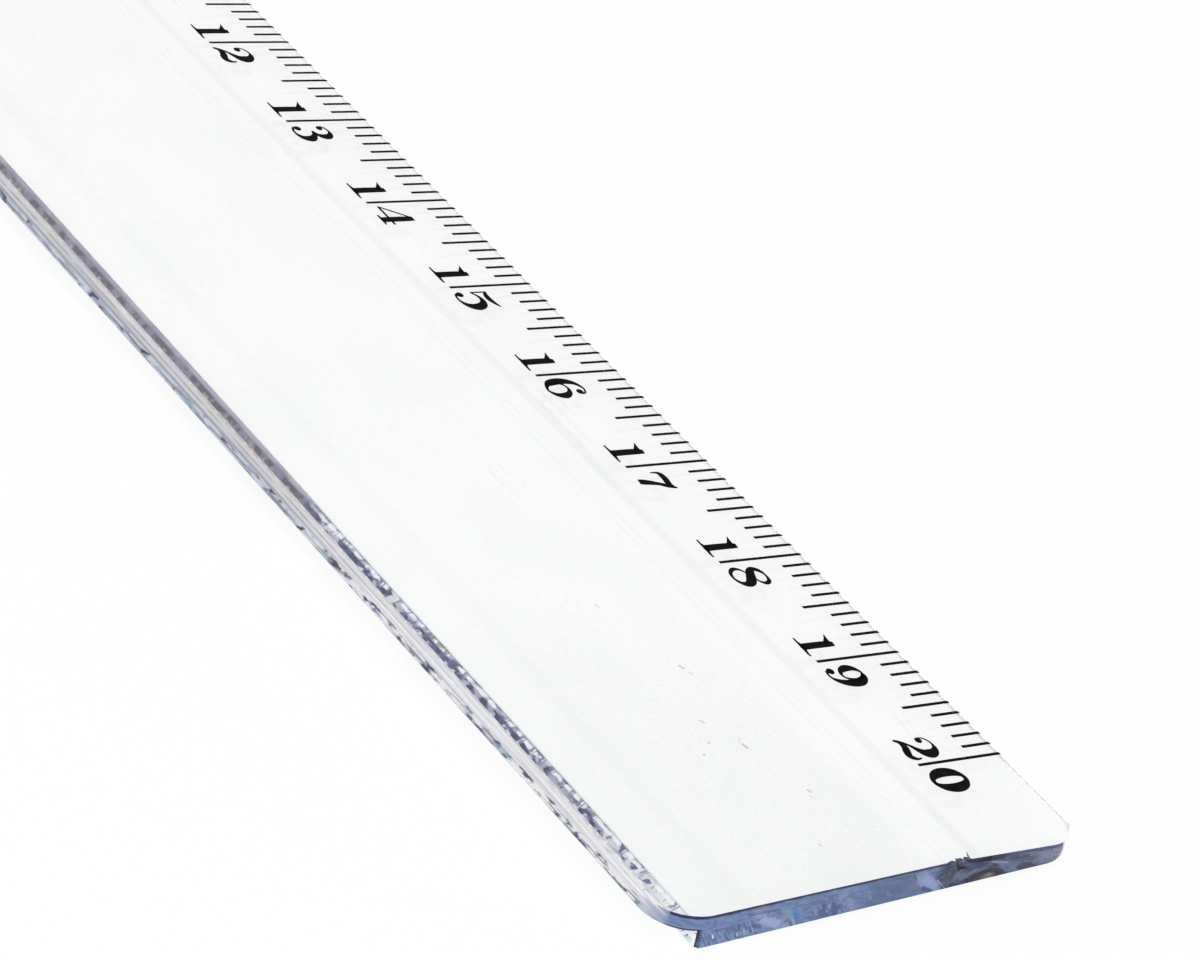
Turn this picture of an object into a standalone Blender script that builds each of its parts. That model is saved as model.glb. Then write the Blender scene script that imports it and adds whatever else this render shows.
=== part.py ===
"""Clear plastic straight ruler, 20 cm long, with a stepped ink edge along its plain side.

The blade is one clear moulding: a constant section carried along the scale, thin at the
graduated edge, thick in the middle and stepped at the plain edge, with its four corners
rounded in plan. Every graduation is stamped into the slope beside the graduated edge. The
centimetre and half centimetre stamps carry their strip of black foil as separate pieces.

The frame is the ruler's own: +X runs along the scale from 0 to 20, +Y points from the
plain edge to the graduated edge, +Z is up. The origin is at the middle of the underside.
All lengths are in metres.
"""

import math

import bmesh
import bpy

MM = 0.001

# The scale: how far apart the graduations stand and how many there are
GRADUATION_PITCH = 1.0 * MM
GRADUATIONS_PER_HALF_CENTIMETRE = 5
GRADUATIONS_PER_CENTIMETRE = 10
CENTIMETRES = 20

# The blade in plan
END_MARGIN = 8.2 * MM
BLADE_WIDTH = 32.0 * MM
CORNER_RADIUS = 3.0 * MM
CORNER_FACETS = 12

# The blade's section, from the graduated edge to the plain edge
BLADE_THICKNESS = 2.0 * MM
GRADUATED_EDGE_THICKNESS = 1.2 * MM
GRADUATED_EDGE_RADIUS = 0.5 * MM
GRADUATED_EDGE_FACETS = 4
SLOPE_WIDTH = 9.9 * MM
SHOULDER_RISE = 0.1 * MM
SHOULDER_RUN = 0.16 * MM
EASED_EDGE = 0.12 * MM

# The stepped ink edge: an upper flange over a lower body that stands back
FLANGE_THICKNESS = 0.9 * MM
FLANGE_OVERHANG = 2.2 * MM
FLANGE_ROOT_RADIUS = 0.2 * MM
FLANGE_ROOT_FACETS = 4

# The stamped graduations, each reach measured square to the graduated edge
LINE_WIDTH = 0.25 * MM
CENTIMETRE_LINE_REACH = 7.1 * MM
HALF_CENTIMETRE_LINE_REACH = 4.2 * MM
MILLIMETRE_LINE_REACH = 2.65 * MM
STAMP_DEPTH = 0.06 * MM
FOIL_THICKNESS = 0.05 * MM
FOIL_CLEARANCE = 0.005 * MM
STAMP_WRAP_SHARE = 0.55
STAMP_WRAP_FACETS = 2

# How far every cutter runs past the surface that it cuts
OVERRUN = 0.4 * MM

# Worked out from the sizes above
GRADUATION_COUNT = CENTIMETRES * GRADUATIONS_PER_CENTIMETRE
SCALE_LENGTH = GRADUATION_COUNT * GRADUATION_PITCH
HALF_SCALE = SCALE_LENGTH / 2
HALF_LENGTH = HALF_SCALE + END_MARGIN
HALF_WIDTH = BLADE_WIDTH / 2
SLOPE_RISE = BLADE_THICKNESS - SHOULDER_RISE - GRADUATED_EDGE_THICKNESS
SLOPE_ANGLE = math.atan2(SLOPE_RISE, SLOPE_WIDTH)
FOOT_REACH = BLADE_WIDTH - FLANGE_OVERHANG
FLANGE_UNDERSIDE = BLADE_THICKNESS - FLANGE_THICKNESS


def clear_scene():
    """Remove every object, so that the model starts from nothing."""
    for old in list(bpy.data.objects):
        bpy.data.objects.remove(old, do_unlink=True)


def make_material(name, colour, roughness, transmission):
    """A plain Principled material in the colour of one of the ruler's two substances."""
    material = bpy.data.materials.new(name)
    material.use_nodes = True
    material.diffuse_color = (*colour, 1)
    shader = material.node_tree.nodes["Principled BSDF"]
    shader.inputs["Base Color"].default_value = (*colour, 1)
    shader.inputs["Roughness"].default_value = roughness
    shader.inputs["Metallic"].default_value = 0
    shader.inputs["Transmission Weight"].default_value = transmission
    return material


def arc(centre, radius, start, end, facets):
    """Points along an arc in the section, both ends included, with angles in radians."""
    step = (end - start) / facets
    angles = [start + step * index for index in range(facets + 1)]
    return [
        (centre[0] + radius * math.cos(angle), centre[1] + radius * math.sin(angle))
        for angle in angles
    ]


def edge_round_centre():
    """Centre of the rounding that joins the graduated edge's face to the slope."""
    height = (
        GRADUATED_EDGE_THICKNESS
        + GRADUATED_EDGE_RADIUS * math.tan(SLOPE_ANGLE)
        - GRADUATED_EDGE_RADIUS / math.cos(SLOPE_ANGLE)
    )
    return (GRADUATED_EDGE_RADIUS, height)


def blade_section():
    """Closed outline of the blade as (reach from the graduated edge, height) points."""
    slope_normal = math.pi / 2 + SLOPE_ANGLE
    slope_top = BLADE_THICKNESS - SHOULDER_RISE
    root_centre = (FOOT_REACH + FLANGE_ROOT_RADIUS, FLANGE_UNDERSIDE - FLANGE_ROOT_RADIUS)
    outline = [(EASED_EDGE, 0), (0, EASED_EDGE)]
    outline += arc(
        edge_round_centre(),
        GRADUATED_EDGE_RADIUS,
        math.pi,
        slope_normal,
        GRADUATED_EDGE_FACETS,
    )
    outline += [
        (SLOPE_WIDTH, slope_top),
        (SLOPE_WIDTH + SHOULDER_RUN, BLADE_THICKNESS),
        (BLADE_WIDTH - EASED_EDGE, BLADE_THICKNESS),
        (BLADE_WIDTH, BLADE_THICKNESS - EASED_EDGE),
        (BLADE_WIDTH, FLANGE_UNDERSIDE),
    ]
    outline += arc(
        root_centre, FLANGE_ROOT_RADIUS, math.pi / 2, math.pi, FLANGE_ROOT_FACETS
    )
    outline += [(FOOT_REACH, EASED_EDGE), (FOOT_REACH - EASED_EDGE, 0)]
    return outline


def strip_section(reach, above, below, inset):
    """Closed outline of a strip that follows the slope and wraps over the graduated edge.

    The strip's upper face lies `above` the blade's surface and its lower face `below` it.
    `inset` draws both of its ends in. It starts part of the way down the rounded edge and
    ends square to the slope, `reach` from the graduated edge.
    """
    centre = edge_round_centre()
    slope_normal = math.pi / 2 + SLOPE_ANGLE
    wrap_end = slope_normal + (math.pi - slope_normal) * STAMP_WRAP_SHARE
    wrap_end -= inset / GRADUATED_EDGE_RADIUS
    along = (math.cos(SLOPE_ANGLE), math.sin(SLOPE_ANGLE))
    straight = (reach - centre[0]) / math.cos(SLOPE_ANGLE)
    straight += GRADUATED_EDGE_RADIUS * math.tan(SLOPE_ANGLE) - inset
    outline = []
    upper = GRADUATED_EDGE_RADIUS + above
    lower = GRADUATED_EDGE_RADIUS - below
    for radius, start, end in (
        (lower, slope_normal, wrap_end),
        (upper, wrap_end, slope_normal),
    ):
        outline += arc(centre, radius, start, end, STAMP_WRAP_FACETS)
    for radius in (upper, lower):
        foot = (
            centre[0] + radius * math.cos(slope_normal),
            centre[1] + radius * math.sin(slope_normal),
        )
        outline.append((foot[0] + along[0] * straight, foot[1] + along[1] * straight))
    return outline


def prism(shape, section, start, end):
    """Add a closed prism to `shape`: a section carried along X from `start` to `end`."""
    corners = [
        shape.verts.new((start, HALF_WIDTH - reach, height)) for reach, height in section
    ]
    near = shape.faces.new(corners)
    swept = bmesh.ops.extrude_face_region(shape, geom=[near], use_keep_orig=True)
    moved = [item for item in swept["geom"] if isinstance(item, bmesh.types.BMVert)]
    bmesh.ops.translate(shape, verts=moved, vec=(end - start, 0, 0))


def finished_mesh(name, shape):
    """Turn a bmesh into a mesh with every face pointing out."""
    bmesh.ops.recalc_face_normals(shape, faces=shape.faces[:])
    mesh = bpy.data.meshes.new(name)
    shape.to_mesh(mesh)
    shape.free()
    return mesh


def place(name, mesh, material=None, parent=None, location=(0, 0, 0)):
    """Put a mesh into the scene as a named object."""
    piece = bpy.data.objects.new(name, mesh)
    bpy.context.scene.collection.objects.link(piece)
    piece.location = location
    piece.parent = parent
    if material and not mesh.materials:
        mesh.materials.append(material)
    return piece


def corner_cutters():
    """What the four rounded corners leave out: a square end with a quarter round gone."""
    shape = bmesh.new()
    for end in (-1, 1):
        for side in (-1, 1):
            centre = (HALF_LENGTH - CORNER_RADIUS, HALF_WIDTH - CORNER_RADIUS)
            outline = arc(centre, CORNER_RADIUS, 0, math.pi / 2, CORNER_FACETS)
            outline += [
                (centre[0], HALF_WIDTH + OVERRUN),
                (HALF_LENGTH + OVERRUN, HALF_WIDTH + OVERRUN),
                (HALF_LENGTH + OVERRUN, centre[1]),
            ]
            corners = [shape.verts.new((end * x, side * y, -OVERRUN)) for x, y in outline]
            floor = shape.faces.new(corners)
            swept = bmesh.ops.extrude_face_region(shape, geom=[floor], use_keep_orig=True)
            raised = [item for item in swept["geom"] if isinstance(item, bmesh.types.BMVert)]
            height = BLADE_THICKNESS + 2 * OVERRUN
            bmesh.ops.translate(shape, verts=raised, vec=(0, 0, height))
    return finished_mesh("corner_cutters", shape)


def line_reach(index):
    """How far the graduation with this number runs in from the graduated edge."""
    if index % GRADUATIONS_PER_CENTIMETRE == 0:
        return CENTIMETRE_LINE_REACH
    if index % GRADUATIONS_PER_HALF_CENTIMETRE == 0:
        return HALF_CENTIMETRE_LINE_REACH
    return MILLIMETRE_LINE_REACH


def line_place(index):
    """Where along X the graduation with this number stands."""
    return index * GRADUATION_PITCH - HALF_SCALE


def stamp_cutters():
    """The shallow recess of every graduation, from 0 to the last."""
    shape = bmesh.new()
    for index in range(GRADUATION_COUNT + 1):
        middle = line_place(index)
        section = strip_section(line_reach(index), OVERRUN, STAMP_DEPTH, 0)
        prism(shape, section, middle - LINE_WIDTH / 2, middle + LINE_WIDTH / 2)
    return finished_mesh("stamp_cutters", shape)


def cut(piece, cutter):
    """Cut a cutter out of a piece and keep the cutter as a hidden guide."""
    cutter.hide_render = True
    cutter.display_type = "WIRE"
    boolean = piece.modifiers.new(cutter.name, "BOOLEAN")
    boolean.operation = "DIFFERENCE"
    boolean.solver = "EXACT"
    boolean.object = cutter


def make_blade(material):
    """The clear moulding: its section carried along the scale, then cornered and stamped."""
    shape = bmesh.new()
    prism(shape, blade_section(), -HALF_LENGTH, HALF_LENGTH)
    blade = place("ruler_blade", finished_mesh("ruler_blade", shape), material)
    cut(blade, place("corner_cutters", corner_cutters()))
    cut(blade, place("stamp_cutters", stamp_cutters()))
    return blade


def foil_mesh(name, reach):
    """One strip of foil, seated in its stamped recess with its face flush."""
    below = STAMP_DEPTH - FOIL_CLEARANCE
    half = LINE_WIDTH / 2 - FOIL_CLEARANCE
    shape = bmesh.new()
    section = strip_section(reach, FOIL_THICKNESS - below, below, FOIL_CLEARANCE)
    prism(shape, section, -half, half)
    return finished_mesh(name, shape)


def make_foil_lines(blade, material):
    """The centimetre and half centimetre lines, each a strip of foil of its own."""
    centimetre = foil_mesh("centimetre_foil", CENTIMETRE_LINE_REACH)
    half_centimetre = foil_mesh("half_centimetre_foil", HALF_CENTIMETRE_LINE_REACH)
    for number in range(CENTIMETRES + 1):
        index = number * GRADUATIONS_PER_CENTIMETRE
        spot = (line_place(index), 0, 0)
        place(f"centimetre_line_{number:02d}", centimetre, material, blade, spot)
    for number in range(CENTIMETRES):
        index = number * GRADUATIONS_PER_CENTIMETRE + GRADUATIONS_PER_HALF_CENTIMETRE
        spot = (line_place(index), 0, 0)
        place(f"half_centimetre_line_{number:02d}_5", half_centimetre, material, blade, spot)


def main():
    """Build the ruler."""
    clear_scene()
    clear_plastic = make_material("clear_plastic", (0.93, 0.95, 0.96), 0.04, 0.9)
    black_foil = make_material("black_foil", (0.012, 0.012, 0.014), 0.35, 0)
    blade = make_blade(clear_plastic)
    make_foil_lines(blade, black_foil)


main()
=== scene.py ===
"""Looks of a clear plastic straight ruler with a 20 cm scale, lying on a white table.

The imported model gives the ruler's frame: +X runs along the scale from 0 to 20, +Y points from
the plain edge to the graduated edge, +Z is up, and the origin is at the middle of the
underside. Shapes are worked out here in millimetres. A point of the section is given by its
reach, which is the distance in from the graduated edge, and by its height over the table.
"""

import logging
import math
from dataclasses import dataclass
from enum import Enum

import bmesh
import bpy
import numpy as np
from mathutils import Matrix, Vector


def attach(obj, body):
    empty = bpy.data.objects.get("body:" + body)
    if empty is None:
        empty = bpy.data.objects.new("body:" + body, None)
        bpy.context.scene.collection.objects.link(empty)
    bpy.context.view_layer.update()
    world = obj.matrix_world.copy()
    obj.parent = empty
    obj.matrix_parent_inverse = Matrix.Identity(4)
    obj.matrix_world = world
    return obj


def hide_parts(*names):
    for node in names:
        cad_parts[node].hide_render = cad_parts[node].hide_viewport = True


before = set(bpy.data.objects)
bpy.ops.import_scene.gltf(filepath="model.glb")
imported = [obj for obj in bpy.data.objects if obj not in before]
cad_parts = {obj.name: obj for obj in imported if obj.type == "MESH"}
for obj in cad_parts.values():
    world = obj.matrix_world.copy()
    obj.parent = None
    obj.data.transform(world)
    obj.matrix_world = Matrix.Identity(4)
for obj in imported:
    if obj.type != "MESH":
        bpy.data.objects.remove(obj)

MM = 0.001
BODY = "root"
LOG = logging.getLogger("straight_ruler")
MERGE_DISTANCE = 0.0002  # millimetres within which two points become one
SHARP_DEGREES = 35.0  # edges that turn by more stay sharp
SHADING_RAYS = ("Is Shadow Ray", "Is Diffuse Ray")
VIEWING_RAYS = ("Is Camera Ray", "Is Glossy Ray", "Is Transmission Ray")
MARK_LEAN = 0.65  # millimetres along X for each millimetre of height, on the stepped edge

Colour = tuple[float, float, float]
Paint = Colour | bpy.types.NodeSocket
Links = dict[str | int, object]


class Wire:
    """A value that runs through a material's nodes, with the operators of arithmetic."""

    def __init__(self, bench: "Bench", socket: bpy.types.NodeSocket) -> None:
        """Hold the socket that the value comes out of.

        Args:
            bench: the material that the socket is in.
            socket: the output socket.
        """
        self.bench = bench
        self.socket = socket

    def maths(self, operation: str, *others: "Wire | float") -> "Wire":
        """Add one Math node that works on this value.

        Args:
            operation: the node's operation.
            others: the node's other values, where it takes any.

        Returns:
            The node's result.
        """
        inputs = dict(enumerate((self, *others)))
        node = self.bench.node("ShaderNodeMath", {"operation": operation}, inputs)
        return self.bench.wire(node, 0)

    def __add__(self, other: "Wire | float") -> "Wire":
        """This value plus another."""
        return self.maths("ADD", other)

    def __radd__(self, other: float) -> "Wire":
        """A number plus this value."""
        return self.maths("ADD", other)

    def __sub__(self, other: "Wire | float") -> "Wire":
        """This value less another."""
        return self.maths("SUBTRACT", other)

    def __rsub__(self, other: float) -> "Wire":
        """A number less this value."""
        return (self * -1.0) + other

    def __mul__(self, other: "Wire | float") -> "Wire":
        """This value times another."""
        return self.maths("MULTIPLY", other)

    def __rmul__(self, other: float) -> "Wire":
        """A number times this value."""
        return self.maths("MULTIPLY", other)

    def __pow__(self, other: float) -> "Wire":
        """This value to a power."""
        return self.maths("POWER", other)

    def __abs__(self) -> "Wire":
        """This value without its sign."""
        return self.maths("ABSOLUTE")

    def least(self, other: "Wire | float") -> "Wire":
        """The smaller of two values."""
        return self.maths("MINIMUM", other)

    def most(self, other: "Wire | float") -> "Wire":
        """The larger of two values."""
        return self.maths("MAXIMUM", other)

    def rise(self, start: float, end: float) -> "Wire":
        """A smooth step: 0 at start, 1 at end, flat outside them; start may be the larger.

        Args:
            start: where the step is still 0.
            end: where it has reached 1.

        Returns:
            The height of the step.
        """
        low, high = min(start, end), max(start, end)
        ends = (0.0, 1.0) if start < end else (1.0, 0.0)
        node = self.bench.node(
            "ShaderNodeMapRange",
            {"interpolation_type": "SMOOTHSTEP"},
            {"Value": self, "From Min": low, "From Max": high, "To Min": ends[0], "To Max": ends[1]},
        )
        return self.bench.wire(node, "Result")

    def band(self, start: float, end: float, soft: float) -> "Wire":
        """1 between start and end, falling to 0 over the distance soft on both sides."""
        return self.rise(start - soft, start) * self.rise(end + soft, end)


class Bench:
    """One material, or the world, and the nodes that are being added to it."""

    def __init__(self, owner: bpy.types.Material | bpy.types.World) -> None:
        """Start with an empty set of nodes.

        Args:
            owner: the new material or world that the nodes are for.
        """
        self.owner = owner
        owner.use_nodes = True
        self.tree = owner.node_tree
        self.tree.nodes.clear()
        self.spot: tuple[Wire, Wire, Wire] | None = None

    @classmethod
    def material(cls, name: str) -> "Bench":
        """A bench for a new material with this name."""
        return cls(bpy.data.materials.new(name))

    def node(self, kind: str, settings: dict | None = None, inputs: Links | None = None) -> bpy.types.Node:
        """Add a node, set what it is told, then fill its sockets.

        Args:
            kind: the node's type.
            settings: its own settings by name.
            inputs: values, wires or sockets by the socket's name or number.

        Returns:
            The node.
        """
        node = self.tree.nodes.new(kind)
        for key, value in (settings or {}).items():
            setattr(node, key, value)
        for key, value in (inputs or {}).items():
            if isinstance(value, Wire):
                value = value.socket
            if isinstance(value, bpy.types.NodeSocket):
                self.tree.links.new(value, node.inputs[key])
            elif isinstance(value, tuple) and len(value) == 3 and node.inputs[key].type == "RGBA":
                node.inputs[key].default_value = (*value, 1.0)
            else:
                node.inputs[key].default_value = value
        return node

    def wire(self, node: bpy.types.Node, output: str | int) -> Wire:
        """The value that comes out of one of a node's sockets."""
        return Wire(self, node.outputs[output])

    def place(self) -> tuple[Wire, Wire, Wire]:
        """Find where the shaded point is on the ruler.

        Returns:
            Its X, Y and Z in millimetres.
        """
        if self.spot is None:
            where = self.node("ShaderNodeTexCoord")
            parts = self.node("ShaderNodeSeparateXYZ", None, {0: where.outputs["Object"]})
            self.spot = tuple(self.wire(parts, index) * (1 / MM) for index in range(3))
        return self.spot

    def point(self, x: Wire | float, y: Wire | float, z: Wire | float) -> bpy.types.NodeSocket:
        """Three values joined into a point for a texture."""
        return self.node("ShaderNodeCombineXYZ", None, {0: x, 1: y, 2: z}).outputs[0]

    def noise(self, point: bpy.types.NodeSocket, detail: float) -> Wire:
        """Soft random unevenness from 0 to 1, with one hump per unit of the point."""
        inputs = {"Vector": point, "Scale": 1.0, "Detail": detail}
        return self.wire(self.node("ShaderNodeTexNoise", None, inputs), 0)

    def cells(self, point: bpy.types.NodeSocket) -> bpy.types.Node:
        """Random cells, one to each unit of the point, as a Voronoi node."""
        return self.node("ShaderNodeTexVoronoi", None, {"Vector": point, "Scale": 1.0})

    def tint(self, share: Wire | float, first: Paint, second: Paint) -> bpy.types.NodeSocket:
        """A colour between two colours.

        Args:
            share: 0 for the first colour, 1 for the second.
            first: a colour, or a socket that gives one.
            second: a colour, or a socket that gives one.

        Returns:
            The socket that gives the mixed colour.
        """
        return self.node("ShaderNodeMix", {"data_type": "RGBA"}, {0: share, 6: first, 7: second}).outputs[2]

    def bump(self, height: Wire, distance: float) -> bpy.types.NodeSocket:
        """A normal that leans as a surface with this height would, distance in millimetres."""
        return self.node("ShaderNodeBump", None, {"Height": height, "Distance": distance * MM}).outputs[0]

    def principled(self, inputs: Links) -> bpy.types.NodeSocket:
        """A Principled shader with these inputs."""
        return self.node("ShaderNodeBsdfPrincipled", None, inputs).outputs[0]

    def blend(
        self, share: Wire | float, first: bpy.types.NodeSocket, second: bpy.types.NodeSocket
    ) -> bpy.types.NodeSocket:
        """A shader between two shaders: 0 for the first, 1 for the second."""
        return self.node("ShaderNodeMixShader", None, {0: share, 1: first, 2: second}).outputs[0]

    def rays(self, *kinds: str) -> Wire:
        """Tell some kinds of light path from the rest.

        Args:
            kinds: outputs of the Light Path node.

        Returns:
            1 for paths of these kinds, 0 for others.
        """
        path = self.node("ShaderNodeLightPath")
        total = self.wire(path, kinds[0])
        for kind in kinds[1:]:
            total = total + self.wire(path, kind)
        return total.least(1.0)

    def close(self, shader: bpy.types.NodeSocket) -> bpy.types.Material:
        """Lead a shader to the material's surface and hand the material over."""
        self.node("ShaderNodeOutputMaterial", None, {"Surface": shader})
        return self.owner


class Face:
    """A flat face that marks are laid out on, by two coordinates in millimetres."""

    def __init__(self, bench: Bench, across: Wire, up: Wire) -> None:
        """Hold the face's two coordinates.

        Args:
            bench: the material.
            across: the coordinate along the face.
            up: the coordinate up the face.
        """
        self.bench = bench
        self.across = across
        self.up = up

    def grain(self, across: float, up: float, seed: float, detail: float = 3.0) -> Wire:
        """Noise whose humps are drawn out.

        Args:
            across: humps for each millimetre across.
            up: humps for each millimetre up.
            seed: tells one grain from another.
            detail: how many finer layers it has.

        Returns:
            The noise, from 0 to 1.
        """
        return self.bench.noise(self.bench.point(self.across * across, self.up * up, seed), detail)

    def streak(self, line_mark: "Scratch") -> Wire:
        """A straight mark: 1 within its half width of its line.

        The distance is measured to the nearest point start + t (end - start), t held in 0 to 1.

        Args:
            line_mark: where it lies and how wide it is.

        Returns:
            line_mark: where it lies and how wide it is.
        """
        start, end = line_mark.start, line_mark.end
        run = (end[0] - start[0], end[1] - start[1])
        square = run[0] ** 2 + run[1] ** 2
        da, db = self.across - start[0], self.up - start[1]
        share = ((da * run[0] + db * run[1]) * (1 / square)).most(0.0).least(1.0)
        away = ((da - share * run[0]) ** 2.0 + (db - share * run[1]) ** 2.0) ** 0.5
        return away.rise(line_mark.half_width + line_mark.soft, line_mark.half_width)

    def spot(self, middle: tuple[float, float], radii: tuple[float, float], soft: float) -> Wire:
        """An oval mark: 1 inside it, fading outwards.

        Args:
            middle: its middle, (across, up).
            radii: its radii across and up.
            soft: how far it fades, as a share of its radii.

        Returns:
            The mark's strength.
        """
        da = (self.across - middle[0]) * (1 / radii[0])
        db = (self.up - middle[1]) * (1 / radii[1])
        return ((da**2.0 + db**2.0) ** 0.5).rise(1.0 + soft, 1.0)


def ring_faces(rows: int, columns: int, loop: bool = False) -> np.ndarray:
    """Quads between closed rings: row r, column c joins to row r + 1 and to column c + 1.

    Args:
        rows: how many rings there are.
        columns: how many vertices each ring has.
        loop: whether the last ring joins the first.

    Returns:
        One line of four vertex numbers for each quad.
    """
    row, column = np.meshgrid(np.arange(rows if loop else rows - 1), np.arange(columns), indexing="ij")
    following, above = (column + 1) % columns, (row + 1) % rows
    here, there = row * columns, above * columns
    corners = (here + column, here + following, there + following, there + column)
    return np.stack(corners, axis=-1).reshape(-1, 4)


def make_piece(
    name: str,
    points: np.ndarray,
    faces: list[np.ndarray],
    materials: list[bpy.types.Material],
    slots: np.ndarray | None = None,
) -> bpy.types.Object:
    """Put arrays of points and faces into a mesh, clean it and add its object.

    Args:
        name: the piece's name.
        points: the vertices in millimetres, one line each.
        faces: arrays of vertex numbers, each with one width.
        materials: the piece's finishes.
        slots: the finish of each face, in the order of faces.

    Returns:
        The object, at the origin, with its place in its mesh.
    """
    mesh = bpy.data.meshes.new(name)
    sides = np.concatenate([np.full(len(part), part.shape[1]) for part in faces])
    corners = np.concatenate([part.ravel() for part in faces])
    mesh.vertices.add(len(points))
    mesh.vertices.foreach_set("co", (points * MM).astype(np.float32).ravel())
    mesh.loops.add(len(corners))
    mesh.loops.foreach_set("vertex_index", corners.astype(np.int32))
    mesh.polygons.add(len(sides))
    starts = np.concatenate(([0], np.cumsum(sides)[:-1]))
    mesh.polygons.foreach_set("loop_start", starts.astype(np.int32))
    for material in materials:
        mesh.materials.append(material)
    if slots is not None:
        mesh.polygons.foreach_set("material_index", slots.astype(np.int32))
    mesh.update(calc_edges=True)
    shape = bmesh.new()
    shape.from_mesh(mesh)
    bmesh.ops.remove_doubles(shape, verts=shape.verts[:], dist=MERGE_DISTANCE * MM)
    bmesh.ops.recalc_face_normals(shape, faces=shape.faces[:])
    shape.to_mesh(mesh)
    shape.free()
    mesh.shade_smooth()
    mesh.set_sharp_from_angle(angle=math.radians(SHARP_DEGREES))
    piece = bpy.data.objects.new(name, mesh)
    bpy.context.scene.collection.objects.link(piece)
    return piece


class Zone(Enum):
    """The parts of the moulding's surface that have a finish each."""

    SKIN = 0
    RIM = 1
    FOOT = 2


@dataclass(frozen=True)
class Section:
    """The section that is carried along the ruler, in millimetres."""

    width: float = 32.0
    thickness: float = 2.0
    graduated_edge_thickness: float = 1.2
    graduated_edge_radius: float = 0.5
    slope_width: float = 9.9
    shoulder_rise: float = 0.1
    shoulder_run: float = 0.16
    shoulder_ease: float = 0.04
    eased_edge: float = 0.12
    flange_thickness: float = 0.9
    flange_overhang: float = 2.2
    flange_root_radius: float = 0.2
    flange_arris: float = 0.06
    wrap_share: float = 0.55

    @property
    def half_width(self) -> float:
        """Y of the graduated edge."""
        return self.width / 2

    @property
    def slope_angle(self) -> float:
        """How far the slope leans, in radians."""
        rise = self.thickness - self.shoulder_rise - self.graduated_edge_thickness
        return math.atan2(rise, self.slope_width)

    @property
    def slope_normal(self) -> float:
        """The direction that the slope faces, in radians."""
        return math.pi / 2 + self.slope_angle

    @property
    def wrap_end(self) -> float:
        """How far round the edge's rounding the graduations run, in radians."""
        return self.slope_normal + (math.pi - self.slope_normal) * self.wrap_share

    @property
    def round_centre(self) -> tuple[float, float]:
        """Centre of the rounding between the graduated edge's face and the slope.

        Returns:
            Its reach and its height.
        """
        radius = self.graduated_edge_radius
        height = radius * math.tan(self.slope_angle) - radius / math.cos(self.slope_angle)
        return radius, self.graduated_edge_thickness + height

    def top(self, reach: np.ndarray) -> np.ndarray:
        """Height of the upper surface: a slope, a short steep shoulder, then the flat.

        Args:
            reach: distances in from the graduated edge.

        Returns:
            The heights there.
        """
        slope_top = self.thickness - self.shoulder_rise
        knots = (0.0, self.slope_width, self.slope_width + self.shoulder_run, self.width)
        heights = (self.graduated_edge_thickness, slope_top, self.thickness, self.thickness)
        return np.interp(reach, knots, heights)

    @staticmethod
    def arc(centre: tuple[float, float], radius: float, angles: np.ndarray) -> np.ndarray:
        """Points at a radius from a centre: centre + radius (cos a, sin a)."""
        return np.stack((centre[0] + radius * np.cos(angles), centre[1] + radius * np.sin(angles)), axis=-1)


@dataclass(frozen=True)
class Scale:
    """The graduations, one to a millimetre, and the recesses that are stamped for them."""

    millimetres: int = 200
    line_width: float = 0.25
    stamp_depth: float = 0.06
    reaches: tuple[float, float, float] = (2.65, 4.2, 7.1)

    @property
    def start(self) -> float:
        """X of the 0 line."""
        return -self.millimetres / 2


@dataclass(frozen=True)
class Run:
    """A stretch of the section's outline whose points share one zone.

    `upper` says that the points lie on the top surface, `margin` is how far inside a rounded
    corner's wall they stay, and `stamp` is the reach class of graduation that presses each
    point down, or -1 for none.
    """

    points: np.ndarray
    zone: Zone
    upper: bool = False
    margin: float = 0.0
    normals: np.ndarray | None = None
    stamp: np.ndarray | None = None

    def spread(self, value: float | bool | int) -> np.ndarray:
        """One value repeated for each of the run's points."""
        return np.full(len(self.points), value)


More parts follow.
